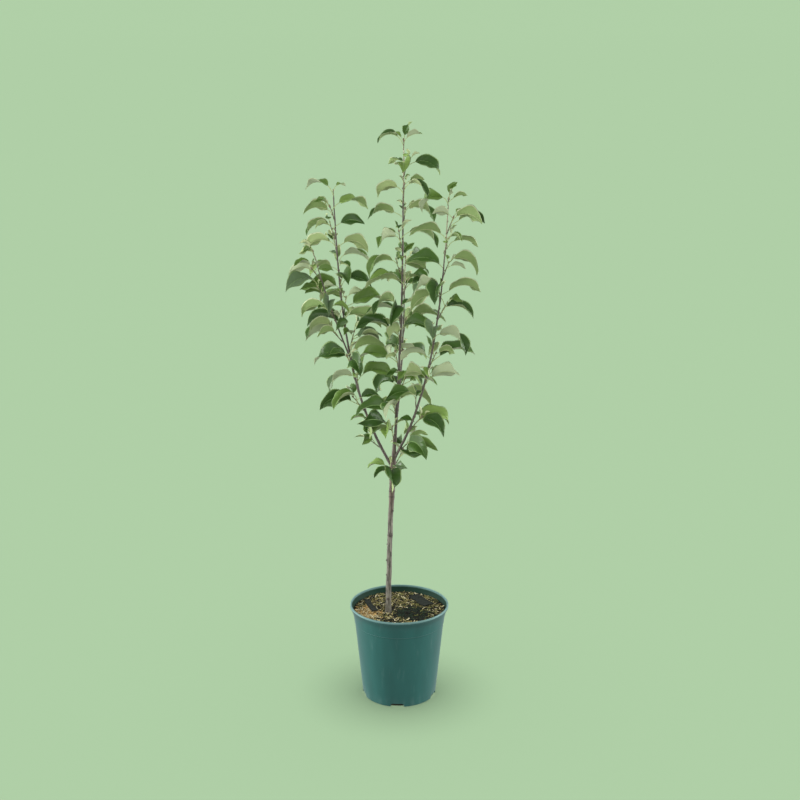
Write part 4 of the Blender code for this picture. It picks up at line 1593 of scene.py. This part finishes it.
class MakeLeaves(bpy.types.Operator):
    """Grow the leaf blades and their stalks"""

    bl_idname = "appletree.leaves"
    bl_label = "Leaves"

    def execute(self, context):
        look = context.scene.apple_leaf
        spurs = grow_spurs()
        leaves = [leaf for spur in spurs for leaf in spur.leaves]
        tender = [leaf for spur in spurs for leaf in spur.tender]
        tops = [
            plain_finish("leaf deep green", look.deep, 0.42),
            plain_finish("leaf mid green", look.mid, 0.45),
            plain_finish("leaf fresh green", look.fresh, 0.48),
            # Painted sheen: a bluish green for tops that stands in for reflected light.
            plain_finish("leaf bluish green", look.blue, 0.36),
            plain_finish("leaf young green", look.young, 0.50),
            plain_finish("leaf cream", look.cream, 0.60),
        ]
        undersides = {
            "leaf underside": look.under,
            "leaf pale underside": look.under_pale,
            "leaf warm underside": look.under_warm,
            "leaf cream underside": look.under_cream,
        }
        unders = [
            plain_finish(name, tone, 0.72, sheen_weight=0.08, sheen_roughness=0.5)
            for name, tone in undersides.items()
        ]
        trims = [
            plain_finish("midrib", look.rib, 0.50),
            plain_finish("midrib below", look.rib_under, 0.60),
            plain_finish("leaf margin", look.rim, 0.55),
            plain_finish("leaf margin below", look.rim_under, 0.65),
        ]
        shape = ("thickness", "relief", "wave", "fold", "twist")
        values = {name.title(): getattr(look, name) for name in shape}
        nodes = [name for name in frame["nodes"] if name.startswith("spur_")]
        groups = (
            ("leaves_grown", [leaf for leaf in leaves if not leaf.young], 18, 2, nodes),
            ("leaves_young", [leaf for leaf in leaves if leaf.young] + tender, 12, 1, ()),
        )
        for name, group, lines, teeth, replaced in groups:
            values["Blade"] = link("blade", blade_template(lines, teeth))
            tree = blade_tree(tops, unders, trims)
            keep(shaped(name, leaf_points(group), tree, values), "leaves", *replaced)
            unlink([values["Blade"]])
        stalks = [stalk_path(leaf) for leaf in leaves + tender]
        finish = plain_finish("leaf stalks", look.stalk, 0.55)
        keep(tubes("leaf_stalks", stalks, finish, 6), "leaves")
        return {"FINISHED"}


# Stage


def gather(name, thing):
    """A collection of one object, for a lamp to reach or to leave out."""
    group = bpy.data.collections.new(name)
    group.objects.link(thing)
    return group


def add_lamp(name, kind, **settings):
    lamp = bpy.data.lights.new(name, kind)
    for key, value in settings.items():
        setattr(lamp, key, value)
    return link(name, lamp)


def floor_mesh():
    """A flat disc that curves up into a round wall, with the share of light that reaches it."""
    profile = [(0.5, 0.0, 1.0), (FLOOR_FLAT, 0.0, 1.0)]
    for i in range(1, FLOOR_STEPS + 1):
        turn = 0.5 * math.pi * i / FLOOR_STEPS
        level = math.cos(turn) + WALL_LEVEL * max(0.0, 1.0 - 2.0 * math.cos(turn)) ** 2
        radius = FLOOR_FLAT + FLOOR_CURVE * math.sin(turn)
        profile.append((radius, FLOOR_CURVE * (1.0 - math.cos(turn)), level))
    profile.append((FLOOR_FLAT + FLOOR_CURVE, FLOOR_TOP, WALL_LEVEL))
    around = [heading_vector(360.0 * i / ROUND) for i in range(ROUND)]
    verts, levels = [], []
    for radius, height, level in profile:
        verts += [radius * way + Vector((0.0, 0.0, height)) for way in around]
        levels += [level] * ROUND
    faces = [tuple(range(ROUND))]
    for ring in range(len(profile) - 1):
        low, high = ring * ROUND, (ring + 1) * ROUND
        for i in range(ROUND):
            after = (i + 1) % ROUND
            faces.append((low + i, high + i, high + after, low + after))
    mesh = bpy.data.meshes.new("floor")
    mesh.from_pydata(verts, [], faces)
    store(mesh, "level", levels)
    mesh.shade_smooth()
    return mesh


def floor_finish(look):
    """A matt floor that glows by itself, but for the shares of the sky and the lamp above."""
    material, graph, plug = new_finish(
        "floor", roughness=1.0, specular_ior_level=0.0, emission_strength=1.0
    )
    upright = shade(look.floor, 1.0 - SKY_SHARE)
    flat = shade(look.floor, 1.0 - SKY_SHARE - look.shade)
    level = graph.add("ShaderNodeAttribute", {"attribute_name": "level"}, {}, "Fac")
    plug(
        base_color=shade(look.floor, SKY_SHARE / look.sky),
        emission_color=graph.mix(level, upright, flat),
    )
    return material


class MakeStage(bpy.types.Operator):
    """Lay the floor and backdrop, and set the lights and the camera"""

    bl_idname = "appletree.stage"
    bl_label = "Stage"

    def execute(self, context):
        look = context.scene.apple_stage
        floor = link("floor", floor_mesh())
        floor.data.materials.append(floor_finish(look))
        floor.visible_diffuse = False
        floor.visible_glossy = False
        floor.visible_shadow = False
        power = math.pi * look.shade * look.sky / SKY_SHARE
        above = add_lamp("above", "SUN", energy=power, angle=math.radians(look.spread))
        above.light_linking.receiver_collection = gather("shaded by the pot", floor)
        pot = bpy.data.objects["pot_shell"]
        above.light_linking.blocker_collection = gather("shading the floor", pot)
        unlit = gather("unlit by the lamps", floor)
        unlit.collection_objects[0].light_linking.link_state = "EXCLUDE"
        for name, (place, wide, tall, setting, share) in LAMPS.items():
            lamp = add_lamp(
                name, "AREA", shape="RECTANGLE", size=wide, size_y=tall,
                energy=share * getattr(look, setting), spread=math.radians(LAMP_SPREAD),
            )
            lamp.location = place
            lamp.rotation_euler = (AIM - Vector(place)).to_track_quat("-Z", "Y").to_euler()
            lamp.light_linking.receiver_collection = unlit

        world = bpy.data.worlds.new("studio")
        world.use_nodes = True
        sky = world.node_tree.nodes["Background"]
        sky.inputs["Color"].default_value = (1.0, 1.0, 1.0, 1.0)
        sky.inputs["Strength"].default_value = look.sky
        context.scene.world = world

        camera = link("camera", bpy.data.cameras.new("camera"))
        camera.data.lens = CAMERA_LENS
        camera.location = CAMERA_PLACE
        camera.rotation_euler = (math.radians(CAMERA_PITCH), 0.0, 0.0)
        context.scene.camera = camera
        context.scene.view_settings.view_transform = "Standard"
        return {"FINISHED"}


class ApplePanel(bpy.types.Panel):
    """Lists the pieces of the potted tree"""

    bl_idname = "VIEW3D_PT_apple_tree"
    bl_label = "Potted apple tree"
    bl_space_type = "VIEW_3D"
    bl_region_type = "UI"
    bl_category = "Apple tree"

    def draw(self, context):
        for operator, group in STEPS:
            box = self.layout.box()
            box.operator(operator.bl_idname)
            settings = getattr(context.scene, group)
            for name in settings.bl_rna.properties.keys():
                if name not in ("rna_type", "name"):
                    box.prop(settings, name)


GROUPS = {
    "apple_pot": PotSettings,
    "apple_compost": CompostSettings,
    "apple_bark": BarkSettings,
    "apple_leaf": LeafSettings,
    "apple_stage": StageSettings,
}
STEPS = (
    (MakePot, "apple_pot"),
    (MakeCompost, "apple_compost"),
    (MakeBark, "apple_bark"),
    (MakeLeaves, "apple_leaf"),
    (MakeStage, "apple_stage"),
)
CLASSES = (*GROUPS.values(), *(operator for operator, _ in STEPS), ApplePanel)


def register():
    for kind in CLASSES:
        bpy.utils.register_class(kind)
    for name, kind in GROUPS.items():
        setattr(bpy.types.Scene, name, bpy.props.PointerProperty(type=kind))


def unregister():
    for name in GROUPS:
        delattr(bpy.types.Scene, name)
    for kind in reversed(CLASSES):
        bpy.utils.unregister_class(kind)


def main():
    register()
    bpy.ops.appletree.pot()
    bpy.ops.appletree.compost()
    bpy.ops.appletree.bark()
    bpy.ops.appletree.leaves()
    bpy.ops.appletree.stage()


if __name__ == "__main__":
    main()
